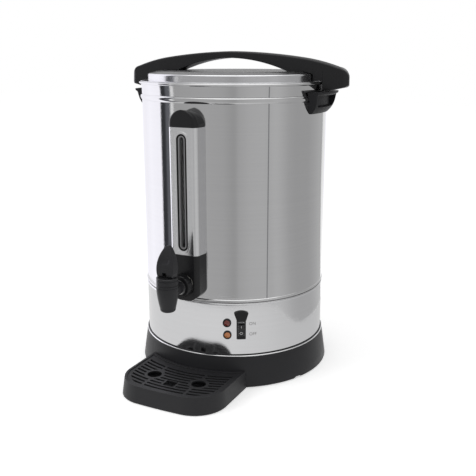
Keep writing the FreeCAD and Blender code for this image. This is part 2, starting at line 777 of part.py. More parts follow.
def gauge_plan(inset):
    """Plan of the gauge's casing, inset from its outside."""
    half, front, c = GAUGE_HALF_W - inset, GAUGE_FRONT - inset, GAUGE_CORNER - inset
    back = BODY_R - 12
    lean = GAUGE_LEAN
    k = 1 - math.sqrt(0.5)
    return [
        (-half, back),
        (-half + lean, front - c),
        (-half + lean + c * k, front - c * k, -half + lean + c, front),
        (half - lean - c, front),
        (half - lean - c * k, front - c * k, half - lean, front - c),
        (half, back),
    ]


def gauge_cover():
    """Steel cover with its embossed window slot."""
    outer = upright(gauge_plan(0), GAUGE_LOW_Z, GAUGE_HIGH_Z)
    inner = upright(gauge_plan(GAUGE_SHEET), GAUGE_LOW_Z - 1, GAUGE_HIGH_Z + 1)
    b = WINDOW_BORDER
    ring = round_slot(WINDOW_HALF_W + b, WINDOW_LOW_Z - b, WINDOW_HIGH_Z + b)
    border = frontal(ring, GAUGE_FRONT - 0.5, GAUGE_FRONT + 0.7)
    border = eased(border, 0.5, lambda e: e.BoundBox.YMin < -GAUGE_FRONT - 0.69 and e.BoundBox.YLength < 0.01)
    window = frontal(
        round_slot(WINDOW_HALF_W, WINDOW_LOW_Z, WINDOW_HIGH_Z), GAUGE_FRONT - 10, GAUGE_FRONT + 5
    )
    return outer.cut(inner).cut(drum(BODY_R)).fuse(border).cut(window).removeSplitter()


def window_ring(outer, inner, near, far):
    """A ring in the window slot, between two insets from the slot's edge."""
    low, high = WINDOW_LOW_Z, WINDOW_HIGH_Z
    body = frontal(round_slot(WINDOW_HALF_W - outer, low + outer, high - outer), near, far)
    hole = round_slot(WINDOW_HALF_W - inner, low + inner, high - inner)
    return body.cut(frontal(hole, near - 5, far + 5))


def gauge_window_gasket():
    """Black frame in the window slot."""
    return window_ring(0, GASKET_WALL, GAUGE_FRONT - 4.4, GAUGE_FRONT + 0.9)


def gauge_window_liner():
    """Pale ring inside the black frame."""
    return window_ring(GASKET_WALL, GASKET_WALL + LINER_WALL, GAUGE_FRONT - 4.4, GAUGE_FRONT + 0.1)


def cap_arch(half, rise, front):
    """Front elevation of the cap at a distance in front of the axis: upright sides under half an ellipse."""
    low, spring, k = GAUGE_HIGH_Z, GAUGE_HIGH_Z + CAP_SPRING, math.sqrt(0.5)
    crown = rise - CAP_SPRING
    outline = wire(
        [
            (-half, low),
            (half, low),
            (half, spring),
            (half * k, spring + crown * k, 0, low + rise),
            (-half * k, spring + crown * k, -half, spring),
        ],
        in_xz,
    )
    outline.translate(at(0, -front))
    return outline


def gauge_cap():
    """Domed black cap over the top of the gauge: it widens round the corner of the plan and falls to the wall."""
    c, side = GAUGE_CORNER, GAUGE_HALF_W - GAUGE_LEAN
    back = BODY_R - 12
    fall = (CAP_RISE - CAP_BACK_RISE) / (GAUGE_FRONT - BODY_R)
    arches = []
    for a in (0, 30, 60, 90):
        out = c * (1 - math.cos(math.radians(a)))
        half = side - c + c * math.sin(math.radians(a))
        arches.append(cap_arch(half, CAP_RISE - fall * out, GAUGE_FRONT - out))
    nose = Part.makeLoft(arches, True, False)
    deep = cap_arch(GAUGE_HALF_W, CAP_RISE - fall * (GAUGE_FRONT - back), back)
    rear = Part.makeLoft([arches[-1], deep], True, True)
    cap = nose.fuse(rear).cut(drum(BODY_R))
    cap = cap.cut(rod(0, TUBE_Y, GAUGE_HIGH_Z - 1, TUBE_HIGH_Z + 0.3, TUBE_R + 1.5))
    return cap.cut(rod_out(0, CAP_SCREW_Z, BODY_R - 5, BODY_R + 4, SCREW_R)).removeSplitter()


def gauge_cap_screw():
    """Screw from inside the tank into the cap."""
    z = CAP_SCREW_Z
    inner = BODY_R - SHEET - 0.1
    head = rod_out(0, z, inner - SCREW_HEAD_H, inner, 4.5)
    return head.fuse(rod_out(0, z, inner - 0.1, BODY_R + 3.6, SCREW_R))


def gauge_foot():
    """Lower housing of the gauge, hollow round the shank's riser."""
    low, high = FOOT_HOUSING_LOW, GAUGE_LOW_Z
    half, k = GAUGE_HALF_W, math.sqrt(0.5)
    shoulder = low + FOOT_HOUSING_RISE
    arch = frontal(
        [
            (-half, high),
            (-half, shoulder),
            (-half * k, shoulder - FOOT_HOUSING_RISE * k, 0, low),
            (half * k, shoulder - FOOT_HOUSING_RISE * k, half, shoulder),
            (half, high),
        ],
        BODY_R - 20,
        GAUGE_FRONT + 5,
    )
    body = upright(gauge_plan(0), low - 1, high).common(arch)
    w = HOUSING_WALL
    hollow = upright(gauge_plan(w), shoulder + 1, high + 1)
    room = block(-half - 5, half + 5, BODY_R - 20, GAUGE_FRONT - w, shoulder + 1, high + 1)
    hollow = hollow.common(room)
    body = body.cut(hollow).cut(drum(BODY_R))
    return body.cut(rod_out(0, SHANK_Z, BODY_R - 5, GAUGE_FRONT + 5, SHANK_R + SHANK_FIT))


def gauge_tube():
    """Glass tube."""
    return rod(0, TUBE_Y, TUBE_LOW_Z, TUBE_HIGH_Z, TUBE_R).cut(
        rod(0, TUBE_Y, TUBE_LOW_Z - 1, TUBE_HIGH_Z + 1, TUBE_R - TUBE_WALL)
    )


def gauge_backing():
    """Dark channel behind the tube, with the scale's ridges."""
    low, high = GAUGE_LOW_Z + 0.5, GAUGE_HIGH_Z - 0.5
    outer = rod(0, TUBE_Y, low, high, TUBE_R + 2.2).cut(rod(0, TUBE_Y, low - 1, high + 1, TUBE_R + 0.1))
    half = outer.cut(block(-20, 20, TUBE_Y - 0.5, TUBE_Y + 20, low - 1, high + 1))
    rib = block(-2, 2, BODY_R + 0.05, TUBE_Y - TUBE_R - 0.4, low, high)
    return half.fuse(rib.cut(rod(0, TUBE_Y, low - 1, high + 1, TUBE_R + 0.1))).removeSplitter()


def gauge_seals():
    """Seals round the tube's two ends."""
    lower = rod(0, TUBE_Y, TUBE_LOW_Z + 4, TUBE_LOW_Z + 9, TUBE_R + 1.5)
    upper = rod(0, TUBE_Y, TUBE_HIGH_Z - 6, TUBE_HIGH_Z - 1, TUBE_R + 1.5)
    bore = rod(0, TUBE_Y, TUBE_LOW_Z, TUBE_HIGH_Z, TUBE_R)
    return group([lower.cut(bore), upper.cut(bore)])


# Tap


def tap_shank():
    """Threaded shank through tank wall and housing, with the riser that feeds the gauge."""
    pipe = rod_out(0, SHANK_Z, SHANK_INNER, SHANK_OUTER, SHANK_R)
    riser = rod(0, TUBE_Y, SHANK_Z, TUBE_LOW_Z + 9, RISER_R)
    body = pipe.fuse(riser).cut(rod_out(0, SHANK_Z, SHANK_INNER - 1, SHANK_OUTER + 1, SHANK_BORE))
    body = body.cut(rod(0, TUBE_Y, SHANK_Z, TUBE_LOW_Z + 1, TUBE_R - TUBE_WALL))
    body = body.cut(rod(0, TUBE_Y, TUBE_LOW_Z, TUBE_LOW_Z + 20, TUBE_R))
    body = body.cut(rod(0, TUBE_Y, TUBE_LOW_Z + 4, TUBE_LOW_Z + 20, TUBE_R + 1.5))
    return body.removeSplitter()


def shank_nut():
    """Nut on the shank inside the tank."""
    r = SHANK_R + 6
    turns = [math.radians(60 * k) for k in range(6)]
    points = [(r * math.cos(a), SHANK_Z + r * math.sin(a)) for a in turns]
    bore = rod_out(0, SHANK_Z, SHANK_INNER, BODY_R, SHANK_R)
    return frontal(points, SHANK_INNER + 6, BODY_R - 6).cut(bore)


def shank_seals():
    """Washer inside the tank and washer between housing and tap nut."""
    bore = rod_out(0, SHANK_Z, SHANK_INNER, SHANK_OUTER + 8, SHANK_R)
    inner = rod_out(0, SHANK_Z, BODY_R - 6, BODY_R, SHANK_R + 4).common(drum(BODY_R - SHEET))
    outer = rod_out(0, SHANK_Z, GAUGE_FRONT, GAUGE_FRONT + UNION_SEAL, SHANK_R + 4)
    return group([inner.cut(bore), outer.cut(bore)])


def tap_nut():
    """Round-shouldered union nut against the housing, with grip flutes."""
    low, high = GAUGE_FRONT + UNION_SEAL, SHANK_OUTER
    r = TAP_NUT_R
    nut = rod_out(0, SHANK_Z, low, high, r)
    nut = eased(nut, 2.4, lambda e: e.Length > 2 * math.pi * r - 1)
    nut = nut.cut(rod_out(0, SHANK_Z, low - 1, high + 1, SHANK_R))
    out = r + 1.2
    for k in range(TAP_NUT_FLUTES):
        a = 2 * math.pi * k / TAP_NUT_FLUTES
        x, z = out * math.cos(a), SHANK_Z + out * math.sin(a)
        nut = nut.cut(rod_out(x, z, low - 1, high + 1, FLUTE_R))
    return nut


def on_tap(solid):
    """Move a solid turned about Z to the tap's axis."""
    solid.translate(at(0, -TAP_Y, 0))
    return solid


def tap_body():
    """Spout and valve chamber in one moulding, with its inlet."""
    low, top, knee = SPOUT_LOW_Z, SPOUT_TOP_Z, SPOUT_LOW_Z + SPOUT_ROUND
    lip, waist = (SPOUT_LIP_R + SPOUT_LOW_R) / 2, (SPOUT_LOW_R + SPOUT_TOP_R) / 2
    body = turned(
        [
            (0, low),
            (SPOUT_LIP_R, low),
            (lip + SPOUT_BULGE, low + 0.4 * SPOUT_ROUND, SPOUT_LOW_R, knee),
            (waist + SPOUT_BULGE, (knee + top) / 2, SPOUT_TOP_R, top),
            (0, top),
        ]
    )
    body = on_tap(body).fuse(rod_out(0, SHANK_Z, SHANK_OUTER, TAP_Y - 4, INLET_R))
    body = body.cut(rod_out(0, SHANK_Z, SHANK_OUTER - 1, TAP_Y, SHANK_BORE))
    body = body.cut(rod(0, TAP_Y, SPOUT_LOW_Z - 1, SEAT_Z - SEAT_THICK, SPOUT_BORE))
    body = body.cut(rod(0, TAP_Y, SEAT_Z - SEAT_THICK - 1, SEAT_Z + 1, SEAT_BORE))
    return body.cut(rod(0, TAP_Y, SEAT_Z, SPOUT_TOP_Z + 1, CHAMBER_R)).removeSplitter()


def tap_collar():
    """Bonnet that closes the valve chamber, with ring grooves and the stem's guide."""
    low, high, r = SPOUT_TOP_Z, COLLAR_TOP_Z, COLLAR_R
    body = turned(
        [
            (0, low - COLLAR_PLUG),
            (CHAMBER_R, low - COLLAR_PLUG),
            (CHAMBER_R, low),
            (r, low),
            (r, low + 3.4),
            (r - 0.7, low + 3.9, r, low + 4.4),
            (r, high - 4.4),
            (r - 0.7, high - 3.9, r, high - 3.4),
            (r, high - 0.8),
            (r - 0.8, high),
            (0, high),
        ]
    )
    body = on_tap(body).cut(rod(0, TAP_Y, low - COLLAR_PLUG - 1, low - 3, SPRING_MEAN_R + SPRING_WIRE + 0.6))
    return body.cut(rod(0, TAP_Y, low - COLLAR_PLUG - 2, high + 1, STEM_R + RUN_FIT))


def tap_stem():
    """Valve stem with its cross-drilled head."""
    stem = rod(0, TAP_Y, SEAT_Z + CUP_FLOOR, PIN_Z + 3.4, STEM_R)
    return stem.cut(rod_side(TAP_Y, PIN_Z, -10, 10, PIN_R))


def tap_seat_cup():
    """Silicone cup that closes the seat."""
    cup = rod(0, TAP_Y, SEAT_Z, SEAT_Z + CUP_H, CUP_R)
    return cup.cut(rod(0, TAP_Y, SEAT_Z + CUP_FLOOR, SEAT_Z + CUP_H + 1, STEM_R))


def tap_spring():
    """Spring between cup and bonnet."""
    return coil(SPRING_MEAN_R, SPRING_WIRE, SEAT_Z + CUP_H, SPOUT_TOP_Z - 3, SPRING_TURNS)


def lever_pin():
    """Pin through lever and stem."""
    return rod_side(TAP_Y, PIN_Z, -LEVER_HALF_W + PIN_INSET, LEVER_HALF_W - PIN_INSET, PIN_R)


def tap_lever():
    """Ogive lever with a thumb dimple, slotted for the stem."""
    w, low, top = LEVER_HALF_W, LEVER_LOW_Z, LEVER_TOP_Z
    tip = LEVER_TIP
    front = frontal(
        [
            (-w + 0.8, low),
            (w - 0.8, low),
            (w, low + 5),
            (w - 1.2, low + 23, tip, top - 1.2),
            (0, top, -tip, top - 1.2),
            (-w + 1.2, low + 23, -w, low + 5),
        ],
        TAP_Y - 20,
        TAP_Y + 20,
    )
    d, back = LEVER_DEPTH / 2, TAP_Y - LEVER_LEAN
    side = sideways(
        [
            (TAP_Y - d, low + 1.5),
            (TAP_Y - d + 1.5, low),
            (TAP_Y + d - 1.5, low),
            (TAP_Y + d, low + 1.5),
            (TAP_Y + d - 0.6, low + 21, back + tip, top - 1.6),
            (back, top + 0.5, back - tip, top - 1.6),
            (TAP_Y - d - 1.6, low + 21, TAP_Y - d, low + 1.5),
        ],
        w + 5,
    )
    lever = front.common(side)
    lever = eased(lever, 1.5, lambda e: e.BoundBox.ZMin > low + 1.6 and e.BoundBox.ZLength > 8)
    middle = low + 0.62 * (top - low)
    dimple = Part.makeSphere(DIMPLE_R, at(0, -(TAP_Y + d - LEVER_LEAN / 2 - DIMPLE_DEPTH + DIMPLE_R), middle))
    lever = lever.cut(dimple)
    half, room = STEM_R + 0.5, STEM_R + 2.3
    pocket = block(-half, half, TAP_Y - room, TAP_Y + room, low - 1, PIN_Z + room)
    mouth = block(-half, half, TAP_Y, TAP_Y + 20, low - 1, PIN_Z + 0.5)
    return lever.cut(pocket).cut(mouth).cut(lever_pin())


# Side handles


def ear_wedge(side, inset):
    """Space between the two cheeks of a side handle, inset from its outside, open away from the axis."""
    a, b = EAR_HALF_LOW - inset, EAR_HALF_TOP - inset
    low, top = EAR_LOW_Z - 1, EAR_TOP_Z + 1
    return face([(-a, low), (a, low), (b, top), (-b, top)], in_yz).extrude(V(side * (EAR_REACH + 49), 0, 0))


def side_handle(side):
    """Scooped side handle: top plate, two cheeks, back wall and bottom lip."""
    low, top, reach = EAR_LOW_Z, EAR_TOP_Z, EAR_REACH
    clear = BODY_R + BEAD_OUT + 0.2
    outer = [
        (BODY_R, low),
        (BODY_R + 2.0, low),
        (reach - 9.0, low + 8.0, reach - 4.5, low + 19.5),
        (reach - 3.2, top - 5.0),
        (reach, top - 2.6),
        (reach, top),
        (clear, top),
        (clear, BEAD_Z - BEAD_H - 0.6),
        (BODY_R, BEAD_Z - BEAD_H - 0.6),
    ]
    body = turned(outer).common(ear_wedge(side, 0))
    w = EAR_WALL
    scoop = turned(
        [
            (BODY_R + w, low + 12.0),
            (BODY_R + w + 8, low + 9.5, reach + 8, low + 16.0),
            (reach + 8, top - w - 3),
            (reach - 3, top - w),
            (BODY_R + w, top - w),
        ]
    )
    body = body.cut(scoop.common(ear_wedge(side, w)))
    for y in (-EAR_SCREW_Y, EAR_SCREW_Y):
        body = body.cut(
            Part.makeCylinder(SCREW_R, 12, at(side * (BODY_R - 8), y, EAR_SCREW_Z), V(side, 0, 0))
        )
    return body.removeSplitter()


def side_handle_screws():
    """Four screws from inside the tank into the side handles."""
    screws = []
    for side in (-1, 1):
        for y in (-EAR_SCREW_Y, EAR_SCREW_Y):
            inner = math.sqrt((BODY_R - SHEET) ** 2 - (abs(y) + SCREW_HEAD_R) ** 2)
            seat = at(side * (inner - SCREW_HEAD_H), y, EAR_SCREW_Z)
            head = Part.makeCylinder(SCREW_HEAD_R, SCREW_HEAD_H, seat, V(side, 0, 0))
            shank = Part.makeCylinder(SCREW_R, 7.5, at(side * (inner - 0.1), y, EAR_SCREW_Z), V(side, 0, 0))
            screws.append(head.fuse(shank))
    return group(screws)


# Lid


def lid_pan():
    """Pressed lid: flat deck, rounded upstand, flange on the rim and a skirt inside the neck."""
    t = LID_SHEET
    r, k = LID_R, LID_ROUND * (1 - math.sqrt(0.5))
    pan = turned(
        [
            (0, LID_TOP_Z),
            (LID_DECK_R - 13, LID_TOP_Z),
            (LID_DECK_R - 12, LID_TOP_Z - LID_GROOVE),
            (LID_DECK_R - 10, LID_TOP_Z - LID_GROOVE),
            (LID_DECK_R - 9, LID_TOP_Z),
            (LID_DECK_R, LID_TOP_Z),
            (r - LID_ROUND, LID_EDGE_Z),
            (r - k, LID_EDGE_Z - k, r, LID_EDGE_Z - LID_ROUND),
            (r, RIM_Z + t),
            (LID_FLANGE_R, RIM_Z + t),
            (LID_FLANGE_R, RIM_Z),
            (LID_SKIRT_R, RIM_Z),
            (LID_SKIRT_R, RIM_Z - LID_SKIRT_DROP),
            (LID_SKIRT_R - t, RIM_Z - LID_SKIRT_DROP),
            (LID_SKIRT_R - t, RIM_Z),
            (r - t, RIM_Z),
            (r - t, LID_EDGE_Z - LID_ROUND),
            (r - LID_ROUND, LID_EDGE_Z - t),
            (LID_DECK_R, LID_TOP_Z - t),
            (LID_DECK_R - 9, LID_TOP_Z - t),
            (LID_DECK_R - 10, LID_TOP_Z - LID_GROOVE - t),
            (LID_DECK_R - 12, LID_TOP_Z - LID_GROOVE - t),
            (LID_DECK_R - 13, LID_TOP_Z - t),
            (0, LID_TOP_Z - t),
        ]
    )
    for x, y in lid_screw_spots():
        pan = pan.cut(rod(x, -y, LID_TOP_Z - 5, LID_TOP_Z + 5, SCREW_R + 0.2))
    return pan


def lid_screw_spots():
    """Places of the four screws that hold the lid handle."""
    return [(side * HANDLE_SCREW_X, y) for side in (-1, 1) for y in (-HANDLE_SCREW_Y, HANDLE_SCREW_Y)]


def lid_handle():
    """Arched handle across the lid, its ends stepping down past the rim."""
    top, tip, gap = HANDLE_TOP_Z, HANDLE_TIP, HANDLE_GAP_HALF
    deck = LID_TOP_Z
    over_rim = RIM_Z + LID_SHEET + 0.7
    over_ear = EAR_TOP_Z + HANDLE_OVER_EAR
    rim_out = NECK_R + 2 * RIM_ROLL - SHEET + 1.2
    under_mid = top - HANDLE_THICK
    right = [
        (0, top),
        (tip - HANDLE_BROW_IN, top - HANDLE_BROW_DOWN, tip - HANDLE_BACK_IN, top - HANDLE_BACK_DOWN),
        (tip - HANDLE_FALL_IN, top - HANDLE_FALL_DOWN, tip - HANDLE_END_IN, top - HANDLE_END_DOWN),
        (tip - HANDLE_NOSE_IN, top - HANDLE_NOSE_DOWN, tip, top - HANDLE_FACE_DOWN),
        (tip, top - HANDLE_JAW_DOWN),
        (tip - HANDLE_CHIN_IN, top - HANDLE_CHIN_DOWN),
        (rim_out + 12, over_ear + 1.0),
        (rim_out, over_ear),
        (rim_out, over_rim),
        (LID_R + 0.5, over_rim),
        (LID_R + 0.5, LID_EDGE_Z - LID_ROUND),
        (LID_R - 0.35, LID_EDGE_Z - 0.45),
        (LID_R - LID_ROUND + 0.4, LID_EDGE_Z + 0.25),
        (LID_DECK_R + 1.0, deck),
        (gap, deck),
        (gap - HANDLE_GAP_BEND, under_mid - HANDLE_GAP_SAG, 0, under_mid),
    ]
    half = frontal(right, -HANDLE_HALF_W - 13, HANDLE_HALF_W + 13)
    whole = half.fuse(half.mirror(V(0, 0, 0), V(1, 0, 0))).removeSplitter()
    w, e = HANDLE_HALF_W, HANDLE_TIP_HALF_W
    bow = HANDLE_TIP_ROUND
    plan = [
        (-tip + bow, -e),
        (0, -w, tip - bow, -e),
        (tip + 0.1, 0, tip - bow, e),
        (0, w, -tip + bow, e),
        (-tip - 0.1, 0, -tip + bow, -e),
    ]
    body = whole.common(upright(plan, RIM_Z - 60, HANDLE_TOP_Z + 5))

    def top_edge(edge):
        """The long upper edges and the ones down the ends."""
        box = edge.BoundBox
        return box.ZMin > over_ear and abs(box.YMin) > e - 6 and box.XLength > 6 and box.Center.z > deck + 5.6

    body = eased(body, HANDLE_EASE, top_edge)
    for x, y in lid_screw_spots():
        body = body.cut(rod(x, -y, deck - 1, deck + 9, SCREW_R))
    return body


def lid_screws():
    """Screws from under the lid into its handle."""
    screws = []
    for x, y in lid_screw_spots():
        under = LID_TOP_Z - LID_SHEET - 1.0
        screws.append(
            rod(x, -y, under - 2.6, under, 4.2).fuse(rod(x, -y, under - 0.1, LID_TOP_Z + 8.5, SCREW_R))
        )
    return group(screws)


def lid_washers():
    """Washers between the screws' heads and the lid."""
    under = LID_TOP_Z - LID_SHEET
    return group(
        [
            rod(x, -y, under - 1.0, under, 5.0).cut(rod(x, -y, under - 2, under + 1, SCREW_R))
            for x, y in lid_screw_spots()
        ]
    )


# Drip tray


def tray_plan(half, front, corner, back):
    """Plan of the tray: straight sides, round front corners and a slightly bowed front."""
    k = 1 - math.sqrt(0.5)
    return [
        (-half, back),
        (-half, front - corner),
        (-half + corner * k, front - corner * k, -half + corner, front),
        (0, front + TRAY_BOW, half - corner, front),
        (half - corner * k, front - corner * k, half, front - corner),
        (half, back),
    ]


def tray_inset(inset):
    """The tray's plan at its top, inset."""
    return tray_plan(TRAY_HALF_TOP - inset, TRAY_FRONT_TOP - inset, TRAY_CORNER - inset, TRAY_BACK)


def tray_bowl():
    """Tray with its floor, ledge for the grille, curved back and two tongues that enter the base."""
    low = FOOT_H
    bottom = wire(tray_plan(TRAY_HALF_LOW, TRAY_FRONT_LOW, TRAY_CORNER, TRAY_BACK), in_xy)
    bottom.translate(at(0, 0, low))
    rim = wire(tray_plan(TRAY_HALF_TOP, TRAY_FRONT_TOP, TRAY_CORNER, TRAY_BACK), in_xy)
    rim.translate(at(0, 0, TRAY_TOP_Z))
    body = Part.makeLoft([bottom, rim], True, True)
    ledge_z = TRAY_TOP_Z - GRILLE_DROP - GRILLE_THICK
    back = BASE_R_LOW + TRAY_GAP
    recess = upright(tray_inset(GRILLE_INSET), ledge_z, TRAY_TOP_Z + 1).cut(drum(back + TRAY_BACK_RIM))
    well = upright(tray_inset(GRILLE_INSET + TRAY_WALL), low + TRAY_FLOOR, ledge_z + 1)
    well = well.cut(drum(back + TRAY_WALL + TRAY_BACK_RIM))
    over = TRAY_TOP_Z + 13
    cone = turned([(0, 0), (base_radius(0) + TRAY_GAP, 0), (base_radius(over) + TRAY_GAP, over), (0, over)])
    body = body.cut(recess).cut(well).cut(cone)
    w = TONGUE_HALF_W
    for x in (-TONGUE_X, TONGUE_X):
        tongue = block(x - w, x + w, TONGUE_INNER, TONGUE_OUTER, TONGUE_Z, TONGUE_Z + TONGUE_THICK)
        body = body.fuse(tongue)
    return body.removeSplitter()


def tray_grille():
    """Grille with arc slots, two cup-centring holes and a square drain."""
    top = TRAY_TOP_Z - GRILLE_DROP
    low = top - GRILLE_THICK
    back = BASE_R_LOW + TRAY_GAP + TRAY_BACK_RIM + GRILLE_PLAY
    plate = upright(tray_inset(GRILLE_INSET + GRILLE_PLAY), low, top).cut(drum(back))
    zone = upright(tray_inset(GRILLE_INSET + GRILLE_PLAY + GRILLE_EDGE), low - 1, top + 1)
    inner, outer, side = GRILLE_RIB_X - GRILLE_RIB / 2, GRILLE_RIB_X + GRILLE_RIB / 2, TRAY_HALF_LOW + 6
    near, far = TRAY_BACK, TRAY_FRONT_LOW
    spans = ((-side, -outer), (-inner, inner), (outer, side))
    lanes = [block(x0, x1, near, far, low - 1, top + 1) for x0, x1 in spans]
    holes = (-GRILLE_HOLE_X, GRILLE_HOLE_X)
    keep = [rod(x, GRILLE_HOLE_Y, low - 2, top + 2, GRILLE_HOLE_R + GRILLE_HOLE_RIM) for x in holes]
    w, d = DRAIN_HALF_W, DRAIN_HALF_D
    keep.append(block(-w - 3, w + 3, DRAIN_Y - d - 1.5, DRAIN_Y + d + 1.5, low - 2, top + 2))
    for row in range(GRILLE_ROWS):
        r = GRILLE_FIRST_R + row * GRILLE_PITCH
        ring = drum(r + GRILLE_SLOT / 2, low - 1, top + 1).cut(drum(r - GRILLE_SLOT / 2, low - 2, top + 2))
        ring = ring.common(zone)
        for lane in lanes:
            plate = plate.cut(ring.common(lane).cut(keep))
    for x in holes:
        plate = plate.cut(rod(x, GRILLE_HOLE_Y, low - 1, top + 1, GRILLE_HOLE_R))
    return plate.cut(block(-w, w, DRAIN_Y - d, DRAIN_Y + d, low - 1, top + 1))


def tray_feet():
    """Rubber pads under the tray."""
    front, back = TRAY_FRONT_LOW - 34, BASE_R_LOW + 10.5
    front_x, back_x = TRAY_HALF_LOW - 26, TRAY_HALF_LOW - 18
    spots = [(side * x, y) for x, y in ((front_x, front), (back_x, back)) for side in (-1, 1)]
    return group([rod(x, y, 0, FOOT_H, TRAY_FOOT_R) for x, y in spots])


NODES = {
    "upper_shell": upper_shell,
    "tank_bottom": tank_bottom,
    "lower_band": lower_band,
    "base_trim_ring": base_trim_ring,
    "base_moulding": base_moulding,
    "bottom_cover": bottom_cover,
    "foot_ring": foot_ring,
    "base_pillars": base_pillars,
    "base_screws": base_screws,
    "heat_plate": heat_plate,
    "heating_element": element_solid,
    "boil_dry_cutout": lambda: thermostat(-THERMOSTAT_X),
    "simmer_thermostat": lambda: thermostat(THERMOSTAT_X),
    "thermostat_bridge": thermostat_bridge,
    "terminal_block": terminal_block,
    "internal_leads": internal_leads,
    "cable_gland": cable_gland,
    "gland_nut": gland_nut,
    "switch_frame": switch_frame,
    "switch_rocker": switch_rocker,
    "switch_hood": switch_hood,
    "heating_lamp_bezel": lambda: lamp_bezel("heating"),
    "heating_lamp_lens": lambda: lamp_lens("heating"),
    "ready_lamp_bezel": lambda: lamp_bezel("ready"),
    "ready_lamp_lens": lambda: lamp_lens("ready"),
    "gauge_cover": gauge_cover,
    "gauge_window_gasket": gauge_window_gasket,
    "gauge_window_liner": gauge_window_liner,
    "gauge_cap": gauge_cap,
    "gauge_cap_screw": gauge_cap_screw,
    "gauge_foot": gauge_foot,
    "gauge_tube": gauge_tube,
    "gauge_backing": gauge_backing,
    "gauge_seals": gauge_seals,
    "tap_shank": tap_shank,
    "shank_nut": shank_nut,
    "shank_seals": shank_seals,
    "tap_nut": tap_nut,
    "tap_body": tap_body,
    "tap_collar": tap_collar,
    "tap_stem": tap_stem,
    "tap_seat_cup": tap_seat_cup,
    "tap_spring": tap_spring,
    "tap_lever": tap_lever,
    "lever_pin": lever_pin,
    "side_handle_left": lambda: side_handle(-1),
    "side_handle_right": lambda: side_handle(1),
    "side_handle_screws": side_handle_screws,
    "lid_pan": lid_pan,
    "lid_handle": lid_handle,
    "lid_screws": lid_screws,
    "lid_washers": lid_washers,
    "tray_bowl": tray_bowl,
    "tray_grille": tray_grille,
    "tray_feet": tray_feet,
}


def main():
    """Build every node and write it."""
    os.makedirs("parts", exist_ok=True)
    for name, build in NODES.items():
        shape = build()
        solids = shape.Solids
        print(f"{name:22s} solids {len(solids)} valid {shape.isValid()} volume {shape.Volume / 1000:.2f} cm3")
        shape.exportStep(f"parts/{name}.step")


main()
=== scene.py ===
"""Hot water urn: the finish of every surface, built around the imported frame.

Meshes are in metres in the frame's own axes: +Z up along the urn, the tap towards -Y. The sizes and
outlines of the sub-assemblies are in millimetres until they become meshes. The studio is in metres.
"""

from __future__ import annotations

import json
import logging
import math
from dataclasses import dataclass, field
from enum import Enum
from typing import Callable, Sequence

import bmesh
import bpy
import numpy as np
from bpy.types import ID, Material, Mesh, Node, NodeSocket, NodeTree, Object
from mathutils import Matrix, Vector

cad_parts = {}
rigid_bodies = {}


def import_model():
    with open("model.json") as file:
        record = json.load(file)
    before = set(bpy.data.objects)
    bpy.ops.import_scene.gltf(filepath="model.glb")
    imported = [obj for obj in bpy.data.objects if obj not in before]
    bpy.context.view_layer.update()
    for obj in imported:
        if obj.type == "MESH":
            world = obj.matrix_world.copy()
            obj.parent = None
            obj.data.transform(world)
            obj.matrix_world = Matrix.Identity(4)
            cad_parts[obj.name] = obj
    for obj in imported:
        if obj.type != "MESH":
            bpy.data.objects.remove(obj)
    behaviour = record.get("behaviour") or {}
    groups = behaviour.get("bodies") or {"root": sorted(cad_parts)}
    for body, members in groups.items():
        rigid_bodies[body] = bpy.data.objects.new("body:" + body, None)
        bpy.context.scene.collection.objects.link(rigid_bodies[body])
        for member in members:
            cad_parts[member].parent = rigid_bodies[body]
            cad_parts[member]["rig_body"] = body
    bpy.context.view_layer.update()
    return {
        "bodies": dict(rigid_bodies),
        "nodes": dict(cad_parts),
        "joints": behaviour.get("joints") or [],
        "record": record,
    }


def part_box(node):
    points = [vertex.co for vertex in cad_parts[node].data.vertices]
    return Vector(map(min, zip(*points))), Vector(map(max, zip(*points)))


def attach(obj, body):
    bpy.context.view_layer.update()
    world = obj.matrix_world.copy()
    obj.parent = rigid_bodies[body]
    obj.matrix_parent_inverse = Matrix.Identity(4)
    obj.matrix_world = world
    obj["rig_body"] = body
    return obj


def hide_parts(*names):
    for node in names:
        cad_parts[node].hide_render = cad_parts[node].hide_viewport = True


LOG = logging.getLogger("urn")
MM = 0.001
TAU = 2 * math.pi
BUMP_DEPTH = 0.2 * MM
SAME_POINT = 0.004 * MM
SAME_NODE_POINT = 0.01 * MM
SHORTEST_EDGE = 0.002 * MM
CAPITAL_SHARE = 0.7

Triple = tuple[float, float, float]
Pairs = Sequence[tuple[float, float]]


class Grain(Enum):
    """How a metal's polishing lines run, as the noise's repeats per metre along X, Y and Z."""

    AROUND = (14, 14, 2300)
    TURNED = (900, 900, 900)
    NONE = (300, 300, 300)


# Shader expressions


class Sig:
    """One value in a node tree. Arithmetic on it adds Math nodes."""

    def __init__(self, tree: NodeTree, socket: NodeSocket) -> None:
        """Wrap an output socket; new nodes go into its tree."""
        self.tree = tree
        self.socket = socket

    def _math(self, operation: str, *operands: Sig | float) -> Sig:
        """Add a Math node.

        Args:
            operation: the node's operation.
            operands: values or links for its inputs, in order.

        Returns:
            The node's result.
        """
        node = self.tree.nodes.new("ShaderNodeMath")
        node.operation = operation
        for slot, value in zip(node.inputs, operands):
            if isinstance(value, Sig):
                self.tree.links.new(value.socket, slot)
            else:
                slot.default_value = float(value)
        return Sig(self.tree, node.outputs[0])

    def __add__(self, other: Sig | float) -> Sig:
        """Sum."""
        return self._math("ADD", self, other)

    __radd__ = __add__

    def __sub__(self, other: Sig | float) -> Sig:
        """Difference."""
        return self._math("SUBTRACT", self, other)

    def __rsub__(self, other: float) -> Sig:
        """Reflected difference."""
        return self._math("SUBTRACT", other, self)

    def __mul__(self, other: Sig | float) -> Sig:
        """Product."""
        return self._math("MULTIPLY", self, other)

    __rmul__ = __mul__

    def clamp(self) -> Sig:
        """The value held between 0 and 1."""
        return self._math("MINIMUM", self._math("MAXIMUM", self, 0.0), 1.0)


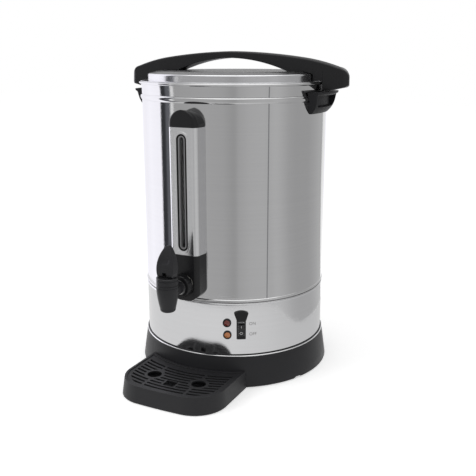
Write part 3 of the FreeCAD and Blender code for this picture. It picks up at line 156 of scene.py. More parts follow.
class Recipe:
    """A node material in the making."""

    def __init__(self, name: str) -> None:
        """Start an empty material.

        Args:
            name: the material's name.
        """
        self.material = bpy.data.materials.new(name)
        self.material.use_nodes = True
        self.tree = self.material.node_tree
        self.tree.nodes.clear()

    def node(self, kind: str, settings: dict | None = None, output: str | int = 0, **sockets: object) -> Sig:
        """Add any node.

        Args:
            kind: the node's type.
            settings: the node's own properties, which are set first.
            output: which output to return.
            sockets: values or links by the socket's name, with _ for a space, or by in and its number.

        Returns:
            The chosen output.
        """
        made = self.tree.nodes.new(kind)
        for key, value in (settings or {}).items():
            setattr(made, key, value)
        for key, value in sockets.items():
            slot = self._slot(made, key)
            if isinstance(value, Sig):
                self.tree.links.new(value.socket, slot)
            else:
                slot.default_value = value
        return Sig(self.tree, made.outputs[output])

    @staticmethod
    def _slot(made: Node, key: str) -> NodeSocket:
        """Find an input.

        Args:
            made: the node.
            key: the input's name, with _ for a space, or "in" and its number.

        Returns:
            The enabled input with that name, or the input with that number.
        """
        if key.startswith("in") and key[2:].isdigit():
            return made.inputs[int(key[2:])]
        name = key.replace("_", " ")
        return next(s for s in made.inputs if s.name == name and s.enabled)

    def place(self, scale: Sequence[float]) -> Sig:
        """Object coordinates, scaled along each axis."""
        raw = self.node("ShaderNodeTexCoord", output="Object")
        return self.node("ShaderNodeMapping", Vector=raw, Scale=scale)

    def noise(self, scale: Sequence[float], detail: float = 2.0, rough: float = 0.5) -> Sig:
        """Noise between 0 and 1 whose size is set along each axis."""
        spot = self.place(scale)
        return self.node("ShaderNodeTexNoise", Vector=spot, Scale=1.0, Detail=detail, Roughness=rough)

    def mix(self, share: Sig, a: Sequence[float], b: Sequence[float]) -> Sig:
        """A colour between two, by a share."""
        return self.node("ShaderNodeMix", {"data_type": "RGBA"}, output=2, in0=share, in6=a, in7=b)

    def bump(self, height: Sig, strength: float) -> Sig:
        """A normal bent by a height."""
        return self.node("ShaderNodeBump", Strength=strength, Distance=BUMP_DEPTH, Height=height)

    def shade(self, **sockets: object) -> Material:
        """Close the material with a Principled shader and return it."""
        return self.close(self.node("ShaderNodeBsdfPrincipled", **sockets))

    def close(self, surface: Sig) -> Material:
        """Link a finished surface to the output.

        Args:
            surface: the shader's output.

        Returns:
            The material.
        """
        out = self.tree.nodes.new("ShaderNodeOutputMaterial")
        self.tree.links.new(surface.socket, out.inputs["Surface"])
        return self.material


def direct_rays(tree: NodeTree) -> Sig:
    """1 for what the camera, mirrors and glass see, else 0."""
    path = tree.nodes.new("ShaderNodeLightPath").outputs
    return sum(Sig(tree, path[f"Is {kind} Ray"]) for kind in ("Camera", "Glossy", "Transmission")).clamp()


def rgba(colour: Sequence[float], gain: float = 1.0) -> tuple[float, float, float, float]:
    """A colour with full alpha, brightened by a gain."""
    red, green, blue = (min(part * gain, 1.0) for part in colour)
    return red, green, blue, 1.0


@dataclass(frozen=True)
class Steel:
    """Polished, brushed, plated or cast metal."""

    name: str
    colour: Triple
    roughness: float
    spread: float
    grain: Grain
    relief: float

    def build(self) -> Material:
        """Polishing lines in roughness and bump, with faint handling marks.

        Returns:
            The material.
        """
        r = Recipe(self.name)
        lines = r.noise(self.grain.value, detail=3.0, rough=0.6)
        coarse = r.noise(tuple(size * 0.12 for size in self.grain.value))
        smears = r.noise((7, 7, 5), detail=3.0, rough=0.55)
        tone = (lines * 0.35 + coarse * 0.35 + smears * 0.30).clamp()
        rough = (lines - 0.5) * self.spread * 1.6 + (smears - 0.5) * self.spread * 1.2 + self.roughness
        return r.shade(
            Base_Color=r.mix(tone, rgba(self.colour, 0.93), rgba(self.colour, 1.06)),
            Metallic=1.0,
            Roughness=rough.clamp(),
            Normal=r.bump(lines * 0.8 + coarse * 0.2, self.relief),
        )


@dataclass(frozen=True)
class Moulding:
    """Moulded plastic, rubber or ceramic with a fine surface grain."""

    name: str
    colour: Triple
    roughness: float
    grain: float
    grain_size: float
    specular: float = 0.5

    def build(self) -> Material:
        """Grain in the bump, flow variation in the colour, rub marks in the roughness.

        Returns:
            The material.
        """
        r = Recipe(self.name)
        grain = r.noise((self.grain_size,) * 3, rough=0.6)
        flow = r.noise((26, 26, 14), detail=4.0, rough=0.6)
        rubs = r.noise((210, 210, 60), detail=3.0, rough=0.7)
        tone = (flow * 0.6 + grain * 0.4).clamp()
        rough = (flow - 0.5) * 0.14 + (rubs - 0.5) * 0.12 + self.roughness
        return r.shade(
            Base_Color=r.mix(tone, rgba(self.colour, 0.82), rgba(self.colour, 1.2)),
            Roughness=rough.clamp(),
            Specular_IOR_Level=self.specular,
            Normal=r.bump(grain, self.grain),
        )


@dataclass(frozen=True)
class Lens:
    """Tinted lamp lens with a faint diffusing pattern."""

    name: str
    colour: Triple
    glow: float

    def build(self) -> Material:
        """Fine cells, dark in their middles and clearer at their edges, under a gloss coat.

        Returns:
            The material.
        """
        r = Recipe(self.name)
        cells = r.node("ShaderNodeTexVoronoi", Vector=r.place((900, 900, 900)), Scale=1.0)
        return r.shade(
            Base_Color=r.mix(cells.clamp(), rgba(self.colour, 0.75), rgba(self.colour, 1.3)),
            Roughness=cells * 0.06 + 0.10,
            Coat_Weight=0.6,
            Emission_Color=rgba(self.colour),
            Emission_Strength=self.glow,
            Normal=r.bump(cells, 0.12),
        )


@dataclass(frozen=True)
class Glass:
    """Clear gauge glass with drawn streaks."""

    name: str
    bend: float = 1.25
    haze: float = 0.14

    def build(self) -> Material:
        """Mostly see-through, with a gloss that varies along the tube.

        Returns:
            The material.
        """
        r = Recipe(self.name)
        streaks = r.noise((700, 700, 8))
        return r.shade(
            Base_Color=r.mix(streaks, (0.86, 0.92, 0.91, 1), (0.95, 0.98, 0.97, 1)),
            Roughness=streaks * 0.05 + 0.03,
            Transmission_Weight=1.0,
            IOR=self.bend,
            Alpha=streaks * 0.1 + self.haze,
        )


@dataclass(frozen=True)
class Ink:
    """Printed marks."""

    name: str
    colour: Triple

    def build(self) -> Material:
        """Slightly uneven print.

        Returns:
            The material.
        """
        r = Recipe(self.name)
        wear = r.noise((900, 900, 900))
        worn, full = rgba(self.colour, 0.8), rgba(self.colour, 1.25)
        return r.shade(Base_Color=r.mix(wear, worn, full), Roughness=wear * 0.2 + 0.4)


FINISHES: dict[str, Steel | Moulding | Lens | Glass | Ink] = {
    finish.name: finish
    for finish in (
        Steel("steel_shell", (0.60, 0.60, 0.605), 0.045, 0.02, Grain.AROUND, 0.14),
        Steel("steel_band", (0.70, 0.70, 0.71), 0.08, 0.03, Grain.AROUND, 0.12),
        Steel("steel_lid", (0.62, 0.62, 0.635), 0.18, 0.05, Grain.TURNED, 0.04),
        Steel("steel_inner", (0.58, 0.58, 0.58), 0.28, 0.08, Grain.AROUND, 0.08),
        Steel("bright_trim", (0.86, 0.86, 0.87), 0.05, 0.02, Grain.AROUND, 0.01),
        Steel("gauge_steel", (0.74, 0.74, 0.75), 0.20, 0.04, Grain.AROUND, 0.10),
        # painted reflection: a darker steel for the upright line that stands in for a reflected dark seam
        Steel("weld_line", (0.30, 0.30, 0.31), 0.40, 0.10, Grain.NONE, 0.05),
        Steel("screw_steel", (0.50, 0.50, 0.50), 0.26, 0.08, Grain.TURNED, 0.05),
        Steel("zinc_plate", (0.52, 0.53, 0.55), 0.42, 0.12, Grain.NONE, 0.10),
        Steel("cast_alloy", (0.58, 0.58, 0.58), 0.52, 0.12, Grain.NONE, 0.25),
        Steel("element_sheath", (0.30, 0.28, 0.26), 0.45, 0.10, Grain.NONE, 0.12),
        Moulding("black_plastic", (0.014, 0.014, 0.016), 0.40, 0.16, 1500.0, 0.28),
        Moulding("black_gloss", (0.009, 0.009, 0.010), 0.30, 0.05, 1900.0, 0.30),
        Moulding("tap_plastic", (0.016, 0.016, 0.018), 0.32, 0.06, 1800.0, 0.30),
        Moulding("tray_plastic", (0.020, 0.020, 0.022), 0.44, 0.20, 1300.0, 0.28),
        Moulding("rocker_gloss", (0.008, 0.008, 0.009), 0.22, 0.03, 1900.0, 0.40),
        Moulding("black_rubber", (0.010, 0.010, 0.010), 0.55, 0.25, 900.0, 0.2),
        Moulding("silicone", (0.66, 0.65, 0.61), 0.45, 0.10, 800.0),
        Moulding("ceramic_white", (0.72, 0.70, 0.65), 0.35, 0.12, 700.0),
        Moulding("lead_sleeve", (0.50, 0.13, 0.07), 0.5, 0.2, 1200.0),
        Moulding("window_liner", (0.21, 0.21, 0.215), 0.35, 0.03, 1200.0, 0.3),
        Moulding("gasket_black", (0.005, 0.005, 0.005), 0.60, 0.10, 1200.0, 0.1),
        # painted shade: black for the ring that stands in for the seam gap's shadow
        Moulding("seam_dark", (0.006, 0.006, 0.006), 0.60, 0.10, 1200.0, 0.1),
        Moulding("ear_plastic", (0.014, 0.014, 0.016), 0.52, 0.16, 1500.0, 0.2),
        Moulding("scale_dark", (0.30, 0.30, 0.302), 0.45, 0.1, 1200.0, 0.3),
        Lens("red_lens", (0.14, 0.022, 0.016), 0.02),
        Lens("amber_lens", (0.46, 0.17, 0.06), 0.05),
        Glass("gauge_glass"),
        Ink("dark_print", (0.20, 0.195, 0.195)),
        Ink("white_print", (0.62, 0.62, 0.62)),
    )
}


class Paint:
    """Makes each finish once and hands it out."""

    def __init__(self) -> None:
        """Start with no material made."""
        self.made: dict[str, Material] = {}

    def __call__(self, obj: Object, finish: str) -> None:
        """Give an object one finish in its only slot.

        Args:
            obj: the object.
            finish: the finish's name.
        """
        if finish not in self.made:
            self.made[finish] = FINISHES[finish].build()
        obj.data.materials.clear()
        obj.data.materials.append(self.made[finish])


# Surfaces


def arc(a: Sequence[float], mid: Sequence[float], b: Sequence[float], count: int) -> np.ndarray:
    """Points on the circle through three points, from the first to the last.

    The centre is where the perpendicular bisectors of the two chords cross, and the points are
    equal steps of the angle about it that passes through the middle point.

    Args:
        a: start.
        mid: a point between.
        b: end.
        count: how many points.

    Returns:
        Array of count rows of two.
    """
    p, q, s = (np.asarray(v, float) for v in (a, mid, b))
    rows = np.array([q - p, s - p]) * 2
    centre = np.linalg.solve(rows, [q @ q - p @ p, s @ s - p @ p])
    start, through, end = (math.atan2(v[1] - centre[1], v[0] - centre[0]) for v in (p, q, s))
    turn = (end - start) % TAU
    if (through - start) % TAU > turn:
        turn -= TAU
    angle = start + turn * np.linspace(0, 1, count)
    return centre + np.hypot(*(p - centre)) * np.stack([np.cos(angle), np.sin(angle)], 1)


def joined(*runs: Sequence) -> np.ndarray:
    """Points and runs of points, joined in order into one array."""
    return np.concatenate([np.atleast_2d(run) for run in runs])


def placed(name: str, data: ID) -> Object:
    """Put an object into the scene.

    Args:
        name: the object's name.
        data: its mesh, lamp or camera.

    Returns:
        The object.
    """
    obj = bpy.data.objects.new(name, data)
    bpy.context.scene.collection.objects.link(obj)
    return obj


def grid_object(name: str, points: np.ndarray, wrap: tuple[bool, bool], caps: bool = False) -> Object:
    """A mesh object over a grid of points.

    Face (i, j) joins point (i, j) to its neighbours (i, j+1), (i+1, j+1) and (i+1, j).

    Args:
        name: the object's name.
        points: array of rows by columns by three, in metres.
        wrap: whether rows and columns close on themselves.
        caps: whether the first and last rows are closed by a face each.

    Returns:
        The linked, smooth-shaded object.
    """
    rows, cols = points.shape[:2]
    i = np.arange(rows if wrap[0] else rows - 1)[:, None]
    j = np.arange(cols if wrap[1] else cols - 1)[None, :]
    i2, j2 = (i + 1) % rows, (j + 1) % cols
    quads = np.stack([i * cols + j, i * cols + j2, i2 * cols + j2, i2 * cols + j], -1).reshape(-1, 4)
    faces = quads.tolist()
    if caps:
        faces.append(list(range(cols))[::-1])
        faces.append([(rows - 1) * cols + k for k in range(cols)])
    mesh = bpy.data.meshes.new(name)
    mesh.from_pydata(points.reshape(-1, 3).tolist(), [], faces)
    mesh.update()
    return linked(name, mesh)


def linked(name: str, mesh: Mesh, smooth: float = 35.0, outward: bool = True) -> Object:
    """Weld a mesh, turn its faces outwards, shade it and link an object for it.

    Args:
        name: the object's name.
        mesh: the mesh, which is changed.
        smooth: edges sharper than this many degrees stay sharp.
        outward: whether normals are worked out again.

    Returns:
        The object.
    """
    work = bmesh.new()
    work.from_mesh(mesh)
    bmesh.ops.remove_doubles(work, verts=work.verts, dist=SAME_POINT)
    bmesh.ops.dissolve_degenerate(work, edges=work.edges, dist=SHORTEST_EDGE)
    if outward:
        bmesh.ops.recalc_face_normals(work, faces=work.faces)
    work.to_mesh(mesh)
    work.free()
    mesh.shade_smooth()
    mesh.set_sharp_from_angle(angle=math.radians(smooth))
    return placed(name, mesh)


def revolved(name: str, profile: np.ndarray, sides: int) -> Object:
    """A closed profile turned about the urn's axis.

    A profile point (r, z) goes to (r cos a, r sin a, z) for equal steps of the angle a.

    Args:
        name: the object's name.
        profile: closed outline of radius and height, in millimetres.
        sides: steps of a full turn.

    Returns:
        The object.
    """
    a = np.linspace(0, TAU, sides, endpoint=False)[:, None]
    r, z = profile[None, :, 0], profile[None, :, 1]
    return grid_object(name, np.stack([r * np.cos(a), r * np.sin(a), z + 0 * a], -1) * MM, (True, True))


def skin_of(node: str, source: Object, bevel: float) -> Object:
    """A welded copy of a node with eased edges.

    Args:
        node: the node's name.
        source: the node's object.
        bevel: width of the eased edges in millimetres, 0 for none.

    Returns:
        The new object.
    """
    name = node + "_skin"
    mesh = source.data.copy()
    mesh.name = name
    work = bmesh.new()
    work.from_mesh(mesh)
    bmesh.ops.remove_doubles(work, verts=work.verts, dist=SAME_NODE_POINT)
    bmesh.ops.dissolve_limit(
        work, angle_limit=math.radians(0.6), verts=work.verts, edges=work.edges, use_dissolve_boundaries=False
    )
    work.to_mesh(mesh)
    work.free()
    obj = linked(name, mesh, 32.0, outward=False)
    if bevel > 0:
        eased = obj.modifiers.new("eased_edges", "BEVEL")
        eased.width = bevel * MM
        eased.segments = 2
        eased.limit_method = "ANGLE"
        eased.angle_limit = math.radians(38)
        eased.harden_normals = True
    return obj


def points_of(mesh: Mesh) -> np.ndarray:
    """Read a mesh's points.

    Args:
        mesh: the mesh.

    Returns:
        Array of rows of three, in metres.
    """
    co = np.empty(len(mesh.vertices) * 3)
    mesh.vertices.foreach_get("co", co)
    return co.reshape(-1, 3)


def moved_points(obj: Object, change: Callable[[np.ndarray], np.ndarray]) -> None:
    """Send all of a mesh's points through a function.

    Args:
        obj: the object whose mesh is changed.
        change: takes and returns rows of three, in metres.
    """
    mesh = obj.data
    mesh.vertices.foreach_set("co", change(points_of(mesh)).astype(np.float32).ravel())
    mesh.update()


def round_urn(points: np.ndarray, radius: float, angle: float) -> np.ndarray:
    """Lay flat points round the body.

    A point (x, y, z) has x along the wall, y out of it and z up. It goes to the radius plus y, at the
    angle from the front plus x over the radius.

    Args:
        points: array of rows of three, in metres.
        radius: the wall's radius, in metres.
        angle: degrees from the front, towards +X.

    Returns:
        Points in the frame.
    """
    turn = math.radians(angle) + points[:, 0] / radius
    r = radius + points[:, 1]
    return np.stack([r * np.sin(turn), -r * np.cos(turn), points[:, 2]], 1)


def lettering(name: str, words: str, height: float, thick: float) -> Object:
    """Flat upright letters as a mesh, centred, in the XZ plane with their face towards -Y.

    Args:
        name: the object's name.
        words: what they say.
        height: how tall a capital is, in millimetres.
        thick: how thick the letters are, in millimetres.

    Returns:
        The object.
    """
    curve = bpy.data.curves.new(name, "FONT")
    curve.body = words
    curve.size = height * MM / CAPITAL_SHARE
    curve.extrude = thick * MM / 2
    curve.align_x = "CENTER"
    curve.align_y = "CENTER"
    temp = bpy.data.objects.new(name, curve)
    mesh = bpy.data.meshes.new_from_object(temp)
    bpy.data.objects.remove(temp)
    mesh.transform(Matrix.Rotation(math.pi / 2, 4, "X"))
    return linked(name, mesh, outward=False)


# The urn's sub-assemblies


@dataclass
class Assembly:
    """One sub-assembly: the frame that it is built around, its paint and the names of its pieces."""

    frame: dict
    paint: Paint
    pieces: list[str] = field(default_factory=list, init=False)

    def add(self, obj: Object, finish: str) -> None:
        """Give a piece its finish and list it."""
        self.paint(obj, finish)
        self.pieces.append(obj.name)

    def stand_for(self, obj: Object, node: str, finish: str) -> None:
        """Let a piece ride with a node's body, replace the node and take a finish.

        Args:
            obj: the piece.
            node: the node's name.
            finish: the finish's name.
        """
        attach(obj, self.frame["nodes"][node]["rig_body"])
        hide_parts(node)
        self.add(obj, finish)

    def carry(self, *rows: tuple[str, str, float]) -> None:
        """Replace nodes by welded copies: a row is a node, its finish and the bevel in millimetres."""
        for node, finish, bevel in rows:
            self.stand_for(skin_of(node, self.frame["nodes"][node], bevel), node, finish)


@dataclass
class Body(Assembly):
    """Tank wall, band, floor and the bright ring.

    A small bead's triple tells how far its start, crest and end are from the seam.
    """

    sheet: float = 0.8
    sides: int = 288
    wall_bead: Triple = (1.3, 3.1, 4.9)
    wall_bead_out: float = 1.3
    band_bead: Triple = (3.8, 2.6, 1.4)
    band_bead_out: float = 1.0
    bead: float = 430.4
    bead_half: float = 4.4
    bead_out: float = 2.2
    flare: float = 1.0
    roll: float = 1.9
    reflection_angle: float = 46.0
    reflection_half: float = 0.8
    reflection_thick: float = 0.09
    gap_half: float = 0.45
    radius: float = field(init=False)
    seam: float = field(init=False)
    top: float = field(init=False)

    def __post_init__(self) -> None:
        """Take the wall's radius and the heights of seam and rim from the frame."""
        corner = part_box("lower_band")[1]
        self.radius = corner.x / MM - 1.0
        self.seam = corner.z / MM
        self.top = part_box("upper_shell")[1].z / MM

    def _inner(self, outer: np.ndarray) -> np.ndarray:
        """The sheet's other side: an outer line, a sheet's thickness closer to the axis and run back."""
        return outer[::-1] - np.array([self.sheet, 0])

    def wall(self) -> Object:
        """Tank wall with seam bead, upper bead, flared neck and rolled rim.

        Returns:
            The object.
        """
        r, z0, top, bead, half = self.radius, self.seam, self.top, self.bead, self.bead_half
        start, crest, end = (z0 + rise for rise in self.wall_bead)
        neck = r + self.flare
        centre = np.array([neck + self.roll - self.sheet, top - self.roll])
        turn = np.linspace(math.radians(-150), math.radians(205), 26)
        curl = centre + self.roll * np.stack([np.cos(turn), np.sin(turn)], 1)
        outer = joined(
            [(r, z0), (r, z0 + 1.0)],
            arc((r, start), (r + self.wall_bead_out, crest), (r, end), 11),
            (r, z0 + 5.6),
            np.linspace((r, z0 + 12), (r, bead - half - 6), 9),
            (r, bead - half - 0.8),
            arc((r, bead - half), (r + self.bead_out, bead), (r + 0.05, bead + half), 15),
            (r + 0.1, bead + half + 0.8),
            np.linspace((r + 0.2, bead + half + 2.5), (neck, top - 4.6), 5),
        )
        profile = joined(outer, (neck, top - 3.4), curl, (neck - self.sheet, top - 2.4), self._inner(outer))
        return revolved("tank_wall", profile, self.sides)

    def band(self) -> Object:
        """Band under the seam with its own small bead.

        Returns:
            The object.
        """
        r, top, low = self.radius, self.seam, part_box("lower_band")[0].z / MM
        start, crest, end = (top - drop for drop in self.band_bead)
        outer = joined(
            np.linspace((r, low), (r, top - 5), 5),
            (r, top - 4.2),
            arc((r, start), (r + self.band_bead_out, crest), (r, end), 9),
            [(r, top - 1.0), (r - 0.2, top - 0.1)],
        )
        return revolved("band_wall", joined(outer, self._inner(outer)), self.sides)

    def ring(self) -> Object:
        """Bright ring between band and base, rounded on the outside.

        Returns:
            The object.
        """
        low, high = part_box("base_trim_ring")
        z0, z1, out, inner = low.z / MM, high.z / MM, high.x / MM, self.radius + 1.2
        edge = arc((out - 0.7, z0), (out, (z0 + z1) / 2), (out - 0.7, z1), 9)
        return revolved("trim_ring", joined((inner, z1), (inner, z0), edge), self.sides)

    def seam_shade_ring(self) -> Object:
        """Painted shade in the gap between wall and band: a small black rectangle turned about the axis.

        Returns:
            The object.
        """
        z, half = self.seam, self.gap_half
        near, far = self.radius - self.sheet / 2, self.radius + half / 8
        section = joined((near, z - half), (far, z - half), (far, z + half), (near, z + half))
        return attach(revolved("seam_gap", section, self.sides), "urn")

    def weld(self) -> Object:
        """Painted reflection: a darker upright line on wall and neck, as a flat ribbon.

        Row k has four points: the ribbon's two edges at the wall's radius there plus and minus its
        thickness, a constant distance either side of the line's angle.

        Returns:
            The object.
        """
        r, under, over = self.radius, self.bead - self.bead_half, self.bead + self.bead_half
        t = np.linspace(0, 1, 24)[:, None]
        x = self.reflection_half * np.array([-1, 1, 1, -1])
        whole = bmesh.new()
        for low, high, r0, r1 in (
            (self.seam + 5.4, under, r, r),
            (over, self.top - 4.2, r + 0.1, r + 0.95),
        ):
            out = r0 + (r1 - r0) * t + self.reflection_thick * np.array([1, 1, -1, -1])
            points = np.stack([x + 0 * t, -np.sqrt(out**2 - x**2), low + (high - low) * t + 0 * x], -1) * MM
            part = grid_object("weld_part", points, (False, True), caps=True)
            whole.from_mesh(part.data)
            bpy.data.objects.remove(part)
        mesh = bpy.data.meshes.new("weld_line")
        whole.to_mesh(mesh)
        whole.free()
        mesh.transform(Matrix.Rotation(math.radians(self.reflection_angle), 4, "Z"))
        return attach(linked("weld_line", mesh), "urn")

    def build(self) -> None:
        """Make and dress the body."""
        # painted reflection: a darker upright ribbon on wall and neck
        self.add(self.weld(), "weld_line")
        # painted shade: a black ring in the seam stands in for the gap's shadow
        self.add(self.seam_shade_ring(), "seam_dark")
        self.stand_for(self.wall(), "upper_shell", "steel_shell")
        self.stand_for(self.band(), "lower_band", "steel_band")
        self.stand_for(self.ring(), "base_trim_ring", "bright_trim")
        self.carry(("tank_bottom", "steel_inner", 0.0))


@dataclass
class Base(Assembly):
    """Flared plastic base with its notch, cover, feet and screws."""

    low_r: float = 154.5
    top_r: float = 147.3
    height: float = 49.3
    seat: float = 146.2
    bore: float = 145.0
    foot_bore: float = 139.0
    wall: float = 3.0
    sides: int = 360
    notch_angle: float = 66.7
    notch_half: float = 6.0
    notch_side: float = 1.2
    notch_rise: float = 2.2
    notch_fade: float = 4.0

    def skirt(self) -> Object:
        """The moulding: a cone whose lower edge lifts in a short notch.

        Points near the lower edge rise by the notch's height where the angle lies within the notch,
        less towards the notch's sides and with their height above the edge.

        Returns:
            The object.
        """
        low, top = (corner.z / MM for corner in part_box("base_moulding"))
        out, seat, bore, ledge, roof = self.low_r, self.seat, self.bore, top - 3.3, top - 9.6
        slope = (self.low_r - self.top_r) / self.height

        def r_at(z: float) -> float:
            """Outside radius at a height."""
            return out - (z - low) * slope

        face = r_at(ledge)
        shoulder = arc((r_at(ledge - 0.8), ledge - 0.8), (face - 0.25, ledge - 0.22), (face - 0.9, ledge), 5)
        profile = joined(
            (out - 2.5, low),
            arc((out - 1.6, low), (out - 0.5, low + 0.5), (r_at(low + 2), low + 2), 7),
            np.linspace((r_at(low + 5), low + 5), (r_at(ledge - 1.2), ledge - 1.2), 8),
            shoulder,
            [(seat + 0.3, ledge), (seat, ledge + 0.2), (seat, top - 0.4), (seat - 0.3, top)],
            [(bore + 0.3, top), (bore, top - 0.3), (bore, top - 5.9), (bore - 2.6, top - 5.9)],
            [(bore - 2.6, roof), (r_at(roof) - self.wall, roof), (r_at(low + 6) - self.wall, low + 6)],
            [(self.foot_bore, low + 6), (self.foot_bore, low + 3.2), (out - 5, low + 3.2), (out - 5, low)],
        )

        def lift(points: np.ndarray) -> np.ndarray:
            """Raise the lower edge inside the notch.

            Args:
                points: rows of three, in metres.

            Returns:
                The rows with their new heights.
            """
            x, y, z = points.T / MM
            away = np.abs(np.degrees(np.arctan2(x, -y)) - self.notch_angle) * math.radians(1) * out
            share = np.clip((self.notch_half + self.notch_side / 2 - away) / self.notch_side, 0, 1)
            fade = np.clip(1 - (z - low) / self.notch_fade, 0, 1)
            rise = self.notch_rise * share * fade * (np.hypot(x, y) > out - 6)
            return points + rise[:, None] * np.array([0, 0, MM])

        obj = revolved("base_skirt", profile, self.sides)
        moved_points(obj, lift)
        return obj

    def build(self) -> None:
        """Make and dress the base."""
        self.stand_for(self.skirt(), "base_moulding", "black_plastic")
        self.carry(
            ("bottom_cover", "zinc_plate", 0.15),
            ("foot_ring", "black_rubber", 0.5),
            ("base_screws", "screw_steel", 0.4),
        )


@dataclass
class Lid(Assembly):
    """Pressed lid with its arched handle."""

    sheet: float = 0.8
    sides: int = 288
    upstand: float = 134.95
    upstand_round: float = 3.0
    edge_drop: float = 3.1
    skirt: float = 143.2
    flange_up: float = 9.0
    deck: float = 119.0
    groove: float = 108.0
    groove_deep: float = 0.9
    arch: Pairs = ((60, 494.6), (112, 489.0), (150, 481.6), (172, 475.0))
    tip_round: float = 8.0
    tip_half: float = 10.5
    top_round: float = 3.4
    low_round: float = 1.3
    side_lean: float = 1.2
    rim_out: float = 150.1

    def pan(self) -> Object:
        """The pressing, with a shallow stepped deck and a rounded upstand.

        Returns:
            The object.
        """
        low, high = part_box("lid_pan")
        foot, top, flange = low.z / MM, high.z / MM, high.x / MM
        r, bend, skirt, deck, t = self.upstand, self.upstand_round, self.skirt, self.deck, self.sheet
        edge, rim, dip, deep = top - self.edge_drop, foot + self.flange_up, self.groove, self.groove_deep
        profile = joined(
            [(0.05, top + 0.25), (40, top + 0.2), (80, top + 0.1), (104.5, top)],
            arc((dip - 2.5, top), (dip - 1.4, top - 0.35), (dip - 0.6, top - deep), 5),
            arc((dip + 0.6, top - deep), (dip + 1.4, top - 0.35), (dip + 2.5, top), 5),
            [(114, top), (deck - 1, top), (deck + 1, top - 0.12), (125, top - 1.3), (r - 3.6, edge + 0.1)],
            arc((r - bend, edge), (r - 0.88, edge - 0.88), (r, edge - bend), 9),
            [(r, edge - 5), (r, rim + t + 1.0)],
            arc((r, rim + t + 0.7), (r + 0.2, rim + t + 0.2), (r + 0.7, rim + t), 4),
            [(140, rim + t), (flange - 0.2, rim + t), (flange, rim + t - 0.25), (flange, rim + 0.05)],
            [(skirt + 0.3, rim), (skirt, rim - 0.3), (skirt, foot), (skirt - t, foot), (skirt - t, rim)],
            [(r - t, rim), (r - t, edge - bend), (r - bend, edge - t)],
            [(deck, top - t), (dip, top - t - deep), (dip - 4, top - t), (0.05, top - t)],
        )
        return revolved("lid_pressing", profile, self.sides)

    def handle(self) -> Object:
        """The arched handle as sections along X.

        Each section is a rounded rectangle between an underside and a top that are functions of x;
        its half width narrows as a quadratic towards the tips, which end in an arc of a circle in plan,
        and the sides lean in by a millimetre.

        Returns:
            The object.
        """
        low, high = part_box("lid_handle")
        tip, wide, top, over_ear = high.x / MM, high.y / MM, high.z / MM, low.z / MM
        deck, over_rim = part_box("lid_pan")[1].z / MM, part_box("upper_shell")[1].z / MM + 1.5
        foot, edge, rim = self.upstand + 0.5, deck - self.edge_drop, self.rim_out
        crown, shoulder, slope, brow = self.arch
        upper = joined(
            arc((0, top), crown, shoulder, 19)[:-1],
            arc(shoulder, slope, brow, 11)[:-1],
            arc(brow, (tip - 4.9, 469.7), (tip, 461.3), 16),
        )
        under = joined(
            arc((0, top - 10.2), (54, 481.2), (95, deck), 15),
            [(120, deck), (132.35, edge + 0.25), (134.6, edge - 0.45), (foot, edge - 3.0)],
            [(foot + 0.02, over_rim), (rim, over_rim), (rim + 0.02, over_ear), (rim + 12, over_ear + 1)],
            [(tip - 4.5, 446.0), (tip, 448.8)],
        )
        bow, narrow = self.tip_round, self.tip_half
        near_tip = tip - bow + (bow - 0.02) * np.sin(np.linspace(0, math.pi / 2, 14)[:-1])
        x = np.concatenate([upper[:, 0], under[:, 0], np.linspace(0, tip, 60), near_tip])
        x = np.unique(np.round(x, 4))
        x = x[x <= near_tip[-1] + 0.001]
        x = np.concatenate([-x[:0:-1], x])
        along = np.abs(x)
        zt = np.interp(along, upper[:, 0], upper[:, 1])
        zb = np.interp(along, under[:, 0], under[:, 1])
        bend = (narrow**2 + bow**2) / (2 * bow)
        side = wide - (wide - narrow) * (along / (tip - bow)) ** 2
        end = np.sqrt(np.maximum(bend**2 - np.maximum(along - tip + bend, 0) ** 2, 0))
        half = np.where(along > tip - bow, end, side)
        r_top = np.minimum(np.minimum(self.top_round, (zt - zb) * 0.4), half * 0.45)
        r_low = np.minimum(np.minimum(self.low_round, (zt - zb) * 0.2), half * 0.25)
        lean = np.minimum(self.side_lean, half * 0.2)
        turn = np.linspace(0, math.pi / 2, 7)
        parts = []
        for sy, sz in ((1, -1), (1, 1), (-1, 1), (-1, -1)):
            radius, z_edge, inset = (r_top, zt, lean) if sz > 0 else (r_low, zb, 0.0)
            order = turn if sy * sz < 0 else turn[::-1]
            y = sy * ((half - inset - radius)[:, None] + radius[:, None] * np.sin(order))
            z = (z_edge - sz * radius)[:, None] + sz * radius[:, None] * np.cos(order)
            parts.append(np.stack([y, z], -1))
        section = np.concatenate(parts, 1)
        grid = np.concatenate([np.broadcast_to(x[:, None, None], section.shape[:2] + (1,)), section], 2)
        return grid_object("handle_arch", grid * MM, (False, True), caps=True)

    def build(self) -> None:
        """Make and dress the lid."""
        self.stand_for(self.pan(), "lid_pan", "steel_lid")
        self.stand_for(self.handle(), "lid_handle", "black_gloss")
        self.carry(("lid_screws", "screw_steel", 0.3), ("lid_washers", "silicone", 0.0))


@dataclass
class SideHandles(Assembly):
    """The two scooped handles under the rim."""

    def build(self) -> None:
        """Dress both handles and their screws."""
        self.carry(
            ("side_handle_left", "ear_plastic", 0.9),
            ("side_handle_right", "ear_plastic", 0.9),
            ("side_handle_screws", "screw_steel", 0.3),
        )


